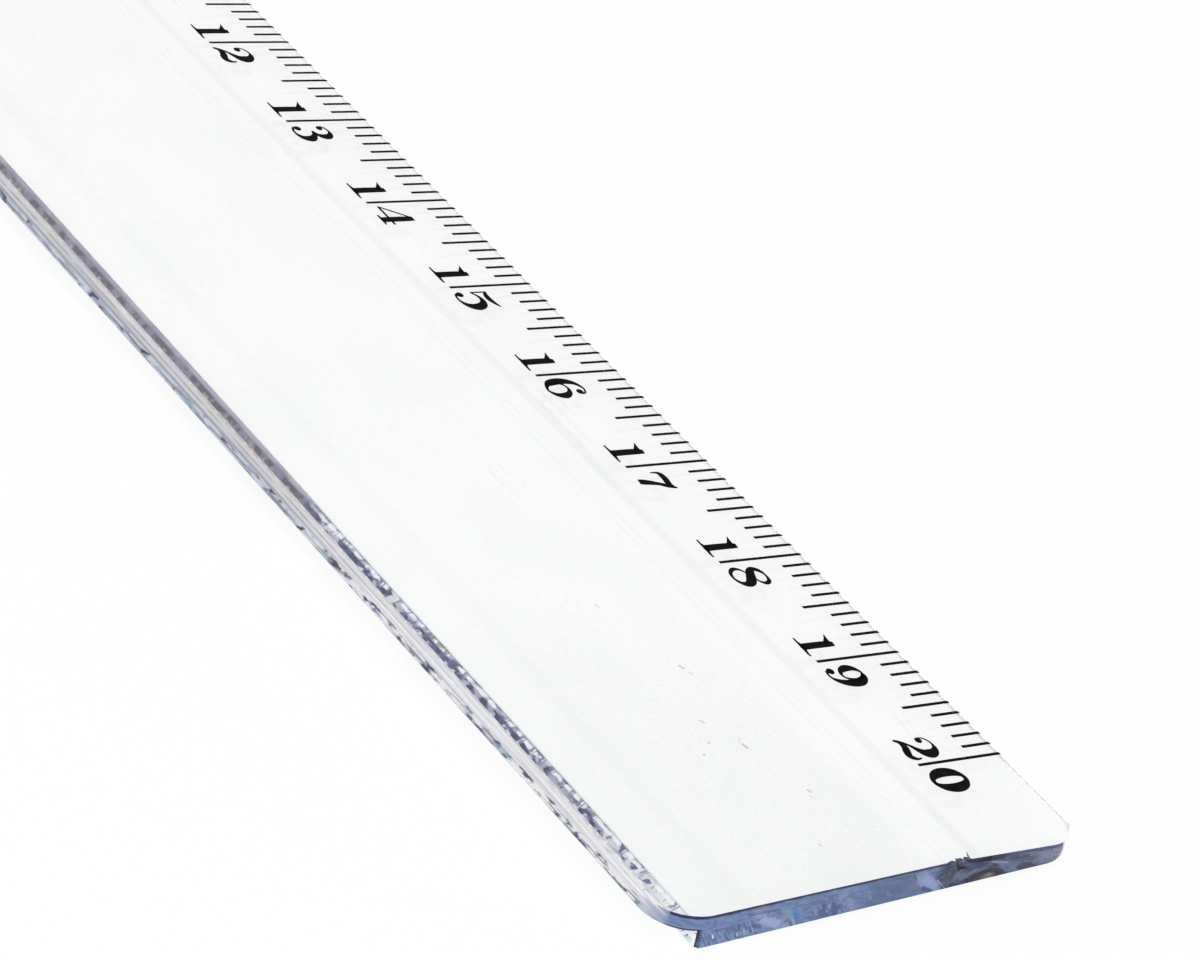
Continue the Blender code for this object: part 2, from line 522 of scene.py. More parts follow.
@dataclass(frozen=True)
class ClearBlade:
    """The clear moulding: the section carried along X, cornered in plan and stamped.

    A point of the surface is S(x, k) = section point k, pushed down square to the surface by
    the stamp's depth where x and k are both inside a graduation, and drawn back onto the
    corner's upright wall where the rounded corner in plan has gone past it. A field that
    ends in `_points` is how many points that stretch of the section has.
    """

    section: Section = Section()
    scale: Scale = Scale()
    half_length: float = 108.2
    corner_radius: float = 3.0
    corner_stations: int = 25
    stamp_wall: float = 0.002
    support: float = 0.03
    bare_points: int = 5
    wrap_points: int = 7
    shoulder_points: int = 12
    outer_points: int = 6
    fillet_points: int = 8
    arris_points: int = 5
    lean_from: float = 100.0
    lean_run: float = 7.0
    lean_out: float = 0.08
    lean_out_start: float = 3.0
    lean_back: float = 0.18
    lean_back_start: float = -7.0
    lean_power: float = 1.2

    def slope_runs(self) -> list[Run]:
        """The graduated edge's rounding, the slope and the shoulder, as runs of the outline.

        Returns:
            The runs, from the edge's face to the flat top.
        """
        s = self.section
        turn = self.stamp_wall / s.graduated_edge_radius
        normal, wrap = s.slope_normal, s.wrap_end
        bare = np.linspace(math.pi, wrap + turn, self.bare_points)
        angles = np.concatenate((bare, np.linspace(wrap, normal, self.wrap_points)))
        edge = s.arc(s.round_centre, s.graduated_edge_radius, angles)
        facing = np.stack((np.cos(angles), np.sin(angles)), axis=-1)
        along = np.array((math.cos(s.slope_angle), math.sin(s.slope_angle)))
        first = edge[-1][0] + self.support
        stops = np.array([[reach, reach + self.stamp_wall] for reach in self.scale.reaches]).ravel()
        stops = np.concatenate(([first], stops, [s.slope_width - s.shoulder_ease]))
        slope = edge[-1] + ((stops - edge[-1][0]) / along[0])[:, None] * along
        across = np.linspace(-s.shoulder_ease, s.shoulder_run + s.shoulder_ease, self.shoulder_points)[1:]
        share = np.clip(across / s.shoulder_run, 0, 1)
        lift = s.top(np.array(s.slope_width)) + s.shoulder_rise * (0.5 - 0.5 * np.cos(share * math.pi))
        before = np.clip(-across, 0, None) * math.tan(s.slope_angle)
        shoulder = np.stack((s.slope_width + across, lift - before), axis=-1)
        square = np.tile(facing[-1:], (len(slope), 1))
        wrapped = np.repeat((-1, 0), (self.bare_points, self.wrap_points - 1))
        return [
            Run(edge[:-1], Zone.SKIN, False, 0.0, facing[:-1], wrapped),
            Run(edge[-1:], Zone.SKIN, True, 0.0, facing[-1:], np.array([0])),
            Run(slope, Zone.SKIN, True, self.support, square, np.repeat((0, 1, 2, -1), 2)),
            Run(shoulder, Zone.SKIN, True, self.support),
        ]

    def outline(self) -> list[Run]:
        """The section's closed outline, from the underside round the graduated edge.

        Returns:
            The runs in order. Points stand `support` away from each rounding, so that the
            flats next to it stay flat in the shading.
        """
        s = self.section
        near, ease, arris = self.support, s.eased_edge, s.flange_arris
        under, foot = s.thickness - s.flange_thickness, s.width - s.flange_overhang
        root = (foot + s.flange_root_radius, under - s.flange_root_radius)
        down = np.linspace(0, -math.pi / 2, self.arris_points)
        back = np.linspace(-math.pi / 2, -math.pi, self.arris_points)
        outer_turn = np.linspace(math.pi / 2, 0, self.outer_points)
        root_turn = np.linspace(math.pi / 2, math.pi, self.fillet_points)
        outer = s.arc((s.width - ease, s.thickness - ease), ease, outer_turn)
        lower = s.arc((s.width - arris, under + arris), arris, down)
        fillet = s.arc(root, s.flange_root_radius, root_turn)
        toe = s.arc((foot - ease, ease), ease, down)
        heel = s.arc((ease, ease), ease, back)
        face_top = s.round_centre[1]
        return [
            Run(np.array([(ease + near, 0.0)]), Zone.SKIN, False, near),
            Run(heel, Zone.RIM),
            Run(np.array([(0.0, ease + near), (0.0, face_top - near)]), Zone.RIM),
            *self.slope_runs(),
            Run(np.array([(s.width - ease - near, s.thickness)]), Zone.SKIN, True, near),
            Run(outer, Zone.RIM),
            Run(np.array([(s.width, s.thickness - ease - near), (s.width, under + arris + near)]), Zone.RIM),
            Run(lower, Zone.RIM),
            Run(np.array([(s.width - arris - near, under), (root[0] + near, under)]), Zone.FOOT, False, near),
            Run(fillet, Zone.FOOT, False, near),
            Run(np.array([(foot, root[1] - near), (foot, ease + near)]), Zone.FOOT),
            Run(toe, Zone.FOOT),
            Run(np.array([(foot - ease - near, 0.0)]), Zone.SKIN, False, near),
        ]

    def stations(self) -> tuple[np.ndarray, np.ndarray]:
        """Where the section stands along X.

        Returns:
            The places, and the reach class of the graduation each is inside, or -1.
        """
        numbers = np.arange(self.scale.millimetres + 1)
        middles = numbers + self.scale.start
        half = self.scale.line_width / 2
        steps = np.array((-half - self.stamp_wall, -half, half, half + self.stamp_wall))
        places = (middles[:, None] + steps).ravel()
        classes = np.where(numbers % 10 == 0, 2, np.where(numbers % 5 == 0, 1, 0))
        none = np.full_like(classes, -1)
        inside = np.stack((none, classes, classes, none), axis=-1).ravel()
        turns = np.linspace(0, math.pi / 2, self.corner_stations)
        start = self.half_length - self.corner_radius
        corner = np.concatenate(([start - self.support], start + self.corner_radius * np.sin(turns)))
        places = np.concatenate((-corner[::-1], places, corner))
        blank = np.full(len(corner), -1)
        return places, np.concatenate((blank, inside, blank))

    def surface(self) -> tuple[np.ndarray, np.ndarray]:
        """The whole grid of points.

        Returns:
            Points by station and outline point, and the zone of the face after each.
        """
        runs = self.outline()
        outline = np.concatenate([run.points for run in runs])
        zones = np.concatenate([run.spread(run.zone.value) for run in runs])
        upper = np.concatenate([run.spread(run.upper) for run in runs])
        margin = np.concatenate([run.spread(run.margin) for run in runs])
        flat = [np.zeros_like(run.points) if run.normals is None else run.normals for run in runs]
        normals = np.concatenate(flat)
        stamped = np.concatenate([run.spread(-1) if run.stamp is None else run.stamp for run in runs])
        places, inside = self.stations()
        pressed = (stamped[None, :] >= 0) & (inside[:, None] >= stamped[None, :])
        section = outline[None] - normals[None] * (pressed * self.scale.stamp_depth)[..., None]
        reach, height = section[..., 0], section[..., 1]
        past = np.clip(np.abs(places) - (self.half_length - self.corner_radius), 0, self.corner_radius)
        cut = self.corner_radius - np.sqrt(self.corner_radius**2 - past**2)
        wall = self.section.width - cut[:, None]
        foot = self.section.width - self.section.flange_overhang
        ledge = np.where(zones == Zone.FOOT.value, np.minimum(wall, foot), 0.0)
        held = np.clip(reach, cut[:, None] + margin, np.maximum(wall - margin, ledge))
        height = np.where(upper[None] & (reach < held), self.section.top(held), height)
        y = self.section.half_width - held
        x = places[:, None] + np.sign(places)[:, None] * self.lean(places, y, height)
        cornered = (cut > 0)[:, None] & ((held <= cut[:, None]) | (held >= wall))
        cornered = cornered & np.roll(cornered, -1, axis=1)
        walls = np.where(cornered[1:] & cornered[:-1], Zone.RIM.value, zones[None])
        return np.stack((x, y, height), axis=-1), walls

    def lean(self, places: np.ndarray, y: np.ndarray, height: np.ndarray) -> np.ndarray:
        """How far the cut ends stand out of square beside the plain corner.

        The end stands out by `lean_out` towards the plain edge, and `lean_back` of each
        millimetre of height brings it back again, more so the nearer the corner is.

        Args:
            places: the stations along X.
            y: Y of each point.
            height: height of each point.

        Returns:
            The distance outwards for each point.
        """
        past = (np.abs(places) - self.lean_from) / (self.half_length - self.lean_from)
        out = self.lean_out * np.clip((self.lean_out_start - y) / self.lean_run, 0, 1)
        bent = np.clip((self.lean_back_start - y) / self.lean_run, 0, 1) ** self.lean_power
        return (out - self.lean_back * height * bent) * np.clip(past, 0, 1)[:, None]

    def build(self, finishes: list[bpy.types.Material]) -> bpy.types.Object:
        """Make the blade's mesh and put it in the CAD blade's place.

        Args:
            finishes: a material for each zone, in the zones' order.

        Returns:
            The blade.
        """
        points, zones = self.surface()
        rows, columns = points.shape[:2]
        sides = ring_faces(rows, columns)
        caps = np.stack((np.arange(columns), np.arange(columns) + (rows - 1) * columns))
        slots = np.concatenate((zones.ravel(), np.full(2, Zone.RIM.value)))
        blade = make_piece("clear_blade", points.reshape(-1, 3), [sides, caps], finishes, slots)
        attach(blade, BODY)
        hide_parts("ruler_blade")
        return blade


@dataclass(frozen=True)
class Scratch:
    """A straight mark on a face: a line between two places, in millimetres across and up."""

    start: tuple[float, float]
    end: tuple[float, float]
    half_width: float
    soft: float
    share: float


@dataclass(frozen=True)
class Mark(Scratch):
    """A straight mark with a colour of its own, solid or broken up."""

    colour: Colour
    broken: bool = False


# The larger specks on the top, in X and Y.
TOP_MARKS = (
    Scratch((88.45, -0.72), (88.75, -0.62), 0.04, 0.08, 0.55),
    Scratch((89.1, -0.5), (89.35, -0.42), 0.03, 0.06, 0.35),
    Scratch((93.2, -2.7), (93.45, -2.6), 0.04, 0.07, 0.4),
    Scratch((95.75, -1.45), (96.1, -1.4), 0.05, 0.08, 0.55),
    Scratch((95.2, -1.3), (95.5, -1.5), 0.02, 0.05, 0.3),
    Scratch((100.35, -0.1), (100.55, 0.0), 0.04, 0.07, 0.5),
    Scratch((100.8, -0.3), (101.0, -0.25), 0.02, 0.05, 0.3),
    Scratch((104.6, -2.6), (104.75, -2.55), 0.03, 0.07, 0.45),
    Scratch((82.1, -2.4), (82.35, -2.35), 0.04, 0.08, 0.3),
)

# The larger marks on a cut end, in Y and Z, in the order that they are painted. Most are painted
# light: white glints, a small rainbow, and dark and blue streaks.
END_MARKS = (
    Mark((-9.5, 1.2), (-7.4, 0.15), 0.16, 0.45, 0.85, (0.31, 0.39, 0.6), True),
    Mark((-9.0, 0.85), (-7.9, 0.4), 0.08, 0.3, 0.8, (0.38, 0.46, 0.68)),
    Mark((-3.2, 1.2), (-2.3, 0.1), 0.18, 0.4, 0.8, (0.27, 0.31, 0.5), True),
    Mark((2.7, 1.3), (4.1, 0.08), 0.34, 0.2, 0.9, (0.27, 0.33, 0.56)),
    Mark((3.1, 1.0), (4.2, 0.2), 0.1, 0.25, 0.6, (0.36, 0.42, 0.66)),
    Mark((2.3, 1.52), (3.0, 1.42), 0.1, 0.15, 0.7, (0.22, 0.29, 0.37), True),
    Mark((2.05, 1.5), (2.35, 1.1), 0.03, 0.08, 0.7, (0.06, 0.08, 0.15)),
    Mark((3.1, 0.4), (3.75, 0.06), 0.09, 0.1, 0.8, (0.05, 0.06, 0.16)),
    Mark((4.1, 0.75), (4.85, 0.08), 0.015, 0.05, 0.7, (0.5, 0.54, 0.66)),
    Mark((-10.2, 1.42), (-8.0, 1.34), 0.03, 0.08, 0.65, (0.1, 0.1, 0.2)),
    Mark((-10.0, 1.62), (-8.8, 1.62), 0.06, 0.12, 0.5, (0.3, 0.25, 0.42)),
    Mark((-13.5, 1.65), (-12.0, 1.45), 0.12, 0.35, 0.6, (0.22, 0.26, 0.52), True),
    Mark((-9.8, 0.75), (-9.2, 0.5), 0.06, 0.15, 0.65, (0.08, 0.1, 0.22), True),
    Mark((-4.6, 0.55), (-3.6, 0.45), 0.25, 0.3, 0.8, (0.08, 0.105, 0.23), True),
    Mark((-5.6, 1.4), (-4.2, 1.35), 0.12, 0.3, 0.6, (0.12, 0.15, 0.28), True),
    Mark((7.1, 1.2), (8.2, 1.0), 0.12, 0.18, 0.7, (0.05, 0.055, 0.095), True),
    Mark((11.2, 0.95), (11.9, 0.85), 0.14, 0.2, 0.6, (0.08, 0.09, 0.17), True),
    Mark((-11.6, 0.75), (-10.9, 0.6), 0.12, 0.25, 0.6, (0.11, 0.17, 0.28), True),
    Mark((-12.4, 1.9), (-11.2, 1.8), 0.03, 0.1, 0.6, (0.08, 0.1, 0.2), True),
    Mark((0.2, 1.6), (2.0, 1.5), 0.03, 0.08, 0.5, (0.09, 0.1, 0.2)),
    Mark((-0.5, 0.9), (1.4, 0.8), 0.25, 0.4, 0.4, (0.09, 0.13, 0.24), True),
    Mark((2.0, 0.85), (2.35, 0.65), 0.08, 0.15, 0.5, (0.26, 0.16, 0.28)),
    Mark((-7.65, 1.15), (-7.35, 0.6), 0.06, 0.14, 0.4, (0.4, 0.27, 0.45)),
    Mark((-7.32, 1.1), (-7.2, 0.75), 0.05, 0.12, 0.3, (0.45, 0.47, 0.4)),
    Mark((-7.1, 1.0), (-6.88, 0.6), 0.1, 0.16, 0.55, (0.17, 0.42, 0.6)),
    Mark((-6.75, 0.95), (-6.45, 0.45), 0.09, 0.2, 0.5, (0.08, 0.18, 0.48)),
    Mark((-7.1, 1.75), (-7.0, 1.4), 0.08, 0.15, 0.35, (0.22, 0.36, 0.38)),
    Mark((-1.5, 1.05), (-1.3, 0.6), 0.05, 0.1, 0.5, (0.4, 0.24, 0.36), True),
    Mark((-1.2, 1.0), (-1.0, 0.6), 0.07, 0.1, 0.55, (0.14, 0.4, 0.5), True),
    Mark((0.3, 0.75), (0.5, 0.4), 0.06, 0.1, 0.45, (0.16, 0.36, 0.46), True),
    Mark((-12.64, 0.66), (-12.56, 0.48), 0.025, 0.05, 0.85, (0.85, 0.87, 0.9)),
    Mark((-13.7, 0.42), (-13.6, 0.24), 0.025, 0.05, 0.85, (0.85, 0.87, 0.9)),
    Mark((-10.84, 0.42), (-10.74, 0.24), 0.015, 0.05, 0.7, (0.7, 0.75, 0.85)),
    Mark((-14.08, 0.75), (-13.85, 0.12), 0.05, 0.06, 0.8, (0.05, 0.05, 0.12)),
    Mark((-14.2, 0.95), (-13.95, 0.7), 0.03, 0.05, 0.7, (0.8, 0.82, 0.8)),
    Mark((5.55, 1.3), (6.0, 1.15), 0.1, 0.2, 0.95, (0.018, 0.01, 0.018), True),
    Mark((5.65, 1.26), (5.9, 1.2), 0.05, 0.1, 0.85, (0.02, 0.01, 0.015)),
    Mark((4.35, 1.4), (4.7, 1.2), 0.12, 0.16, 0.85, (0.03, 0.04, 0.065), True),
    Mark((4.2, 1.78), (5.0, 1.72), 0.1, 0.15, 0.8, (0.035, 0.045, 0.15), True),
    Mark((5.2, 1.66), (5.7, 1.62), 0.08, 0.12, 0.8, (0.03, 0.06, 0.12), True),
    Mark((5.6, 0.72), (6.15, 0.52), 0.13, 0.2, 0.75, (0.17, 0.19, 0.32)),
    Mark((4.4, 0.32), (5.1, 0.22), 0.08, 0.15, 0.6, (0.13, 0.17, 0.2), True),
    Mark((6.4, 0.5), (7.0, 0.82), 0.07, 0.12, 0.75, (0.14, 0.22, 0.36)),
    Mark((7.0, 0.82), (7.9, 0.8), 0.04, 0.1, 0.5, (0.12, 0.17, 0.26)),
    Mark((8.4, 0.92), (8.75, 0.8), 0.06, 0.08, 0.88, (0.025, 0.025, 0.03)),
    Mark((6.9, 1.45), (8.1, 1.26), 0.01, 0.05, 0.5, (0.3, 0.3, 0.38)),
    Mark((8.15, 1.2), (9.55, 0.86), 0.015, 0.05, 0.75, (0.46, 0.46, 0.58)),
    Mark((9.2, 0.62), (10.5, 0.25), 0.16, 0.25, 0.7, (0.13, 0.2, 0.34), True),
    Mark((9.0, 1.28), (11.0, 1.05), 0.09, 0.14, 0.85, (0.04, 0.045, 0.1), True),
    Mark((10.7, 0.3), (12.0, 0.22), 0.13, 0.15, 0.85, (0.055, 0.05, 0.12)),
    Mark((12.0, 0.98), (12.6, 0.92), 0.08, 0.15, 0.5, (0.3, 0.25, 0.28)),
    Mark((11.9, 0.45), (13.2, 0.3), 0.1, 0.2, 0.5, (0.2, 0.2, 0.38)),
    Mark((13.5, 1.3), (13.78, 0.9), 0.02, 0.06, 0.7, (0.04, 0.045, 0.08)),
)


class Coat:
    """A colour that is painted over, one layer after another."""

    def __init__(self, bench: Bench, colour: Paint) -> None:
        """Start with the lowest layer.

        Args:
            bench: the material.
            colour: the layer's colour, or a socket that gives one.
        """
        self.bench = bench
        self.colour = colour

    def over(self, share: Wire | float, colour: Paint) -> None:
        """Paint a colour over what is there, as thickly as share says."""
        self.colour = self.bench.tint(share, self.colour, colour)


@dataclass(frozen=True)
class ClearPlastic:
    """Clear moulded plastic: it bends light, lets lamps through and carries light along.

    Light that has been turned back many times inside the blade comes from its far ends. The
    render stops following it, so it takes the slate blue that it would have there, or a near
    white in the thin part beside the graduated edge.
    """

    colour: Colour = (0.985, 0.993, 0.99)
    dull: Colour = (0.85, 0.87, 0.86)
    shade: Colour = (0.96, 0.965, 0.97)
    carried: Colour = (0.46, 0.54, 0.68)
    carried_pale: Colour = (0.96, 0.96, 0.97)
    carried_turns: float = 3.5
    # A pale paint for the rounded graduated edge and heel: painted light that keeps their outline bright.
    polish: Colour = (0.95, 0.95, 0.96)
    gleam: Colour = (0.2, 0.2, 0.2)
    refraction: float = 1.5

    def glass(self, bench: Bench) -> bpy.types.NodeSocket:
        """The plastic's clear shader.

        Args:
            bench: the material that it is for.

        Returns:
            The shader, with lamps let through and carried light put in.
        """
        clear = bench.principled(
            {
                "Base Color": self.clarity(bench),
                "Roughness": 0.0,
                "IOR": self.refraction,
                "Transmission Weight": 1.0,
                "Specular Tint": self.gleam,
            }
        )
        path = bench.node("ShaderNodeLightPath")
        pale = bench.place()[1].rise(9.0, 11.0)
        tone = bench.tint(pale, self.carried, self.carried_pale)
        glow = bench.node("ShaderNodeEmission", None, {"Color": tone}).outputs[0]
        deep = bench.wire(path, "Ray Depth").maths("GREATER_THAN", self.carried_turns)
        inside = bench.blend(deep, clear, glow)
        through = bench.node("ShaderNodeBsdfTransparent", None, {"Color": self.shade}).outputs[0]
        return bench.blend(bench.rays(*SHADING_RAYS), inside, through)

    def clarity(self, bench: Bench) -> bpy.types.NodeSocket:
        """The plastic's tint: even, with painted shade in soft lines along the shoulder and at the 20 end.

        Args:
            bench: the material that it is for.

        Returns:
            The socket of the colour.
        """
        x, y, z = bench.place()
        wander = Face(bench, x, y).grain(0.35, 0.9, 60.0).rise(0.2, 0.6)
        # Painted shade: soft darker lines along the shoulder and the flat, and a darker stretch towards the
        # 20 end.
        lines = y.band(6.52, 6.95, 0.45).most(y.band(4.16, 4.24, 0.16) * 0.6 * wander)
        lines = lines.most(y.band(4.78, 4.86, 0.2) * 0.55 * wander).most(y.band(-10.6, -10.2, 0.9) * 0.35)
        end = x.rise(78.0, 100.0) * y.rise(4.0, 2.2) * 0.45
        return bench.tint((lines * 0.75 + end) * z.rise(0.8, 1.2), self.colour, self.dull)


@dataclass(frozen=True)
class PolishedSkin(ClearPlastic):
    """The top and underside: clear, with haze, grit, specks, hairlines and painted light on the edge."""

    frost: Colour = (0.42, 0.42, 0.47)
    dust: Colour = (0.3, 0.32, 0.32)
    unlit: Colour = (0.0, 0.0, 0.0)
    # The rounded graduated edge's glow: painted light.
    edge_light: Colour = (0.4, 0.4, 0.4)
    speck_pace: float = 0.22
    speck_size: float = 0.15

    def dress(self) -> bpy.types.Material:
        """Make the finish.

        Returns:
            The material.
        """
        bench = Bench.material("clear_plastic_skin")
        x, y, z = bench.place()
        plan = Face(bench, x, y)
        haze = plan.grain(0.11, 0.17, 1.0).rise(0.35, 0.75) * 0.02
        mottle = plan.grain(1.6, 1.9, 5.0, 1.0).rise(0.45, 0.8) * 0.02
        speck = self.specks(plan, z)
        grit = plan.grain(3.0, 3.4, 66.0, 2.0).rise(0.52, 0.75) * x.rise(72.0, 88.0) * y.band(-9.0, 2.5, 2.0)
        hair = abs(plan.grain(0.03, 0.5, 9.0, 1.0) - 0.5).rise(0.003, 0.0008)
        hair = hair * plan.grain(0.12, 0.3, 12.0, 1.0).rise(0.55, 0.62) * 0.07
        marks = haze + mottle + grit * 0.05 + speck.most(hair)
        # Painted light: the rounded graduated edge is painted pale and glows, so its outline shows no dark
        # line.
        edge = y.rise(15.45, 15.6) * z.rise(0.5, 0.7)
        coat = Coat(bench, bench.tint(speck.rise(0.0, 0.2), self.frost, self.dust))
        coat.over(edge, self.polish)
        lit = bench.tint(edge, self.unlit, self.edge_light)
        glow = {"Emission Color": lit, "Emission Strength": 1.0}
        paint = bench.principled({"Base Color": coat.colour, "Roughness": 0.5} | glow)
        seen = 1.0 - bench.rays(*SHADING_RAYS)
        share = marks.most(edge * seen * 0.6).least(1.0)
        return bench.close(bench.blend(share, self.glass(bench), paint))

    def specks(self, plan: Face, z: Wire) -> Wire:
        """Dust at random places, and the larger specks that lie on the top.

        A random speck is drawn where its own size is more than the distance to its cell's point.

        Args:
            plan: the surface, across in X and up in Y.
            z: the height of the shaded point.

        Returns:
            The strength of the specks.
        """
        bench = plan.bench
        pace = self.speck_pace
        cells = bench.cells(bench.point(plan.across * pace, plan.up * pace, 0.0))
        apart = bench.wire(cells, "Distance") * (1 / pace)
        lot = bench.node("ShaderNodeSeparateColor", None, {0: cells.outputs["Color"]})
        size = bench.wire(lot, 0).rise(0.45, 1.0) * self.speck_size
        speck = (size - apart).rise(0.0, 0.05) * 0.45
        for mark in TOP_MARKS:
            speck = speck.most(plan.streak(mark) * z.rise(1.5, 1.9) * mark.share)
        return speck


@dataclass(frozen=True)
class CutRim(ClearPlastic):
    """The cut ends, the flange's outer side and the graduated edge's face.

    They show streaks and specks of painted light, which stand for the light carried and turned
    back inside the clear plastic. A cut end is slate in fine streaks, with painted shade that
    makes it darker and greyer under the slope, and a dark painted reflection along its top.
    """

    section: Section = Section()
    slate: Colour = (0.2, 0.285, 0.51)
    slate_dark: Colour = (0.125, 0.185, 0.345)
    slate_middle: Colour = (0.105, 0.155, 0.28)
    navy: Colour = (0.022, 0.03, 0.11)
    navy_pale: Colour = (0.07, 0.08, 0.22)
    # Near black painted shade: the notch under the flange and the darkest stretch of the top line.
    ink: Colour = (0.004, 0.005, 0.028)
    smoke: Colour = (0.09, 0.115, 0.21)
    smoke_dark: Colour = (0.035, 0.045, 0.1)
    dusk: Colour = (0.125, 0.155, 0.27)
    dusk_dark: Colour = (0.06, 0.07, 0.13)
    lilac: Colour = (0.23, 0.25, 0.37)
    lilac_dark: Colour = (0.14, 0.15, 0.26)
    tick: Colour = (0.4, 0.48, 0.66)
    tick_dark: Colour = (0.06, 0.07, 0.16)
    mottle: Colour = (0.15, 0.16, 0.24)
    mottle_dark: Colour = (0.03, 0.035, 0.06)
    arch: Colour = (0.012, 0.013, 0.035)
    arch_warm: tuple[Colour, ...] = (
        (0.12, 0.05, 0.06), (0.34, 0.2, 0.15), (0.34, 0.37, 0.27), (0.05, 0.07, 0.07),
    )
    turn: Colour = (0.62, 0.64, 0.72)
    turn_blue: Colour = (0.36, 0.4, 0.54)
    # Pale and dark flecks where the flange's side turns into the end: painted light.
    scuff: Colour = (0.3, 0.32, 0.42)
    scuff_white: Colour = (0.9, 0.91, 0.94)
    # The flange's outer side, down to the dashes: painted light, pale and lined above, broken and blue below.
    frost: Colour = (0.86, 0.86, 0.88)
    frost_line: Colour = (0.42, 0.42, 0.47)
    frost_grey: Colour = (0.66, 0.66, 0.68)
    far_grey: Colour = (0.42, 0.42, 0.46)
    far_line: Colour = (0.25, 0.25, 0.3)
    far_ink: Colour = (0.17, 0.19, 0.25)
    chip: Colour = (0.88, 0.88, 0.9)
    chip_far: Colour = (0.6, 0.65, 0.76)
    chip_violet: Colour = (0.42, 0.43, 0.6)
    chip_grey: Colour = (0.5, 0.48, 0.48)
    chip_layer: Colour = (0.16, 0.16, 0.24)
    chip_black: Colour = (0.03, 0.035, 0.05)
    chip_navy: Colour = (0.06, 0.07, 0.2)
    teal: Colour = (0.3, 0.6, 0.6)
    teal_far: Colour = (0.36, 0.5, 0.68)
    dash: Colour = (0.12, 0.12, 0.16)

    def dress(self) -> bpy.types.Material:
        """Make the finish.

        Returns:
            The material.
        """
        bench = Bench.material("clear_plastic_rim")
        x, y, z = bench.place()
        along = abs(x)
        facing = (along + y * 1.2 + z * 0.53).rise(125.6, 125.35)
        ends, sides = Face(bench, y, z), Face(bench, x - z * MARK_LEAN, z)
        streaks = ends.grain(2.5, 0.8, 90.0).rise(0.35, 0.65)
        end = (along + streaks * 0.12).rise(106.75, 107.1) * facing
        side = bench.tint(along.rise(105.0, 105.9), self.side_colour(sides), self.turned_corner(along, y, z))
        coat = Coat(bench, bench.tint(end, side, self.end_colour(ends)))
        # Painted shade: the notch under the flange is near black on the cut end.
        lip = z.rise(1.21, 1.15) * y.rise(-13.3, -13.7) * along.rise(106.8, 107.2)
        coat.over(lip * 0.9, self.ink)
        # Painted light: the heel and the graduated edge's face are pale, so the outline there shows no dark
        # line.
        heel = y.rise(15.85, 15.88) * z.rise(0.14, 0.12)
        coat.over(heel.most(y.rise(15.3, 15.4) * (1.0 - end)), self.polish)
        heel = heel.most(y.rise(15.45, 15.6) * (1.0 - end) * 0.8)
        heel = heel * (1.0 - bench.rays(*SHADING_RAYS))
        graduated = y.rise(11.0, 12.0)
        share = (end * 0.97).most((1.0 - graduated) * 0.94).most(heel * 0.9)
        rough = ends.grain(1.5, 1.5, 50.0, 1.0).rise(0.3, 0.7) * 0.2 + 0.12
        paint = bench.principled({"Base Color": coat.colour, "Roughness": rough, "Specular IOR Level": 0.08})
        return bench.close(bench.blend(share, self.glass(bench), paint))

    def turned_corner(self, along: Wire, y: Wire, z: Wire) -> bpy.types.NodeSocket:
        """The painted light where the flange's side turns into the cut end: flecked, bluer further round.

        Args:
            along: how far along the ruler, from its middle.
            y: Y of the shaded point.
            z: its height.

        Returns:
            The socket of the colour.
        """
        bench = along.bench
        coat = Coat(bench, bench.tint(along.rise(105.4, 106.9), self.turn, self.turn_blue))
        corner_flecks = Face(bench, y + z * 1.3, z).grain(4.0, 0.8, 93.0, 3.0)
        coat.over(corner_flecks.rise(0.48, 0.6) * 0.6, self.scuff)
        coat.over(corner_flecks.rise(0.42, 0.34) * 0.7, self.scuff_white)
        return coat.colour

    def end_colour(self, face: Face) -> bpy.types.NodeSocket:
        """The painted light of a cut end, from its streaks up to the dark line along its top.

        Args:
            face: the end face, across in Y and up in Z.

        Returns:
            The socket of the colour.
        """
        bench = face.bench
        layers = Face(bench, face.across, self.below_top(face))
        slanting = Face(bench, face.across + face.up * 1.4, face.up)
        drawn = layers.grain(0.5, 6.0, 2.0, 4.0)
        fine = drawn * 0.5 + slanting.grain(1.6, 2.4, 9.0, 4.0) * 0.5
        light = fine.rise(0.44, 0.56) * 0.8 + layers.grain(1.3, 15.0, 6.0, 3.0).rise(0.4, 0.6) * 0.2
        coat = Coat(bench, bench.tint(light, self.slate_dark, self.slate))
        coat.over(face.across.band(-1.0, 2.0, 1.2) * 0.6, self.slate_middle)
        # Painted shade: darker and greyer under the slope, lilac again at the corner.
        under = (face.across + fine * 1.2).rise(4.2, 4.9)
        coat.over(under, bench.tint(light, self.smoke_dark, self.smoke))
        later = (face.across + fine * 1.2).rise(9.2, 10.2)
        coat.over(later, bench.tint(light, self.dusk_dark, self.dusk))
        corner = (face.across - self.below_top(face) * 1.2 + fine).rise(10.6, 12.2)
        coat.over(corner, bench.tint(light, self.lilac_dark, self.lilac))
        self.speckle(face, coat)
        self.draw_arch(face, drawn, coat)
        top_line = bench.tint(face.across.rise(8.9, 9.8), self.navy, self.navy_pale)
        coat.over(self.edge_line(face), top_line)
        coat.over(self.edge_line(face) * face.across.band(6.2, 8.8, 0.6) * 0.9, self.ink)
        return coat.colour

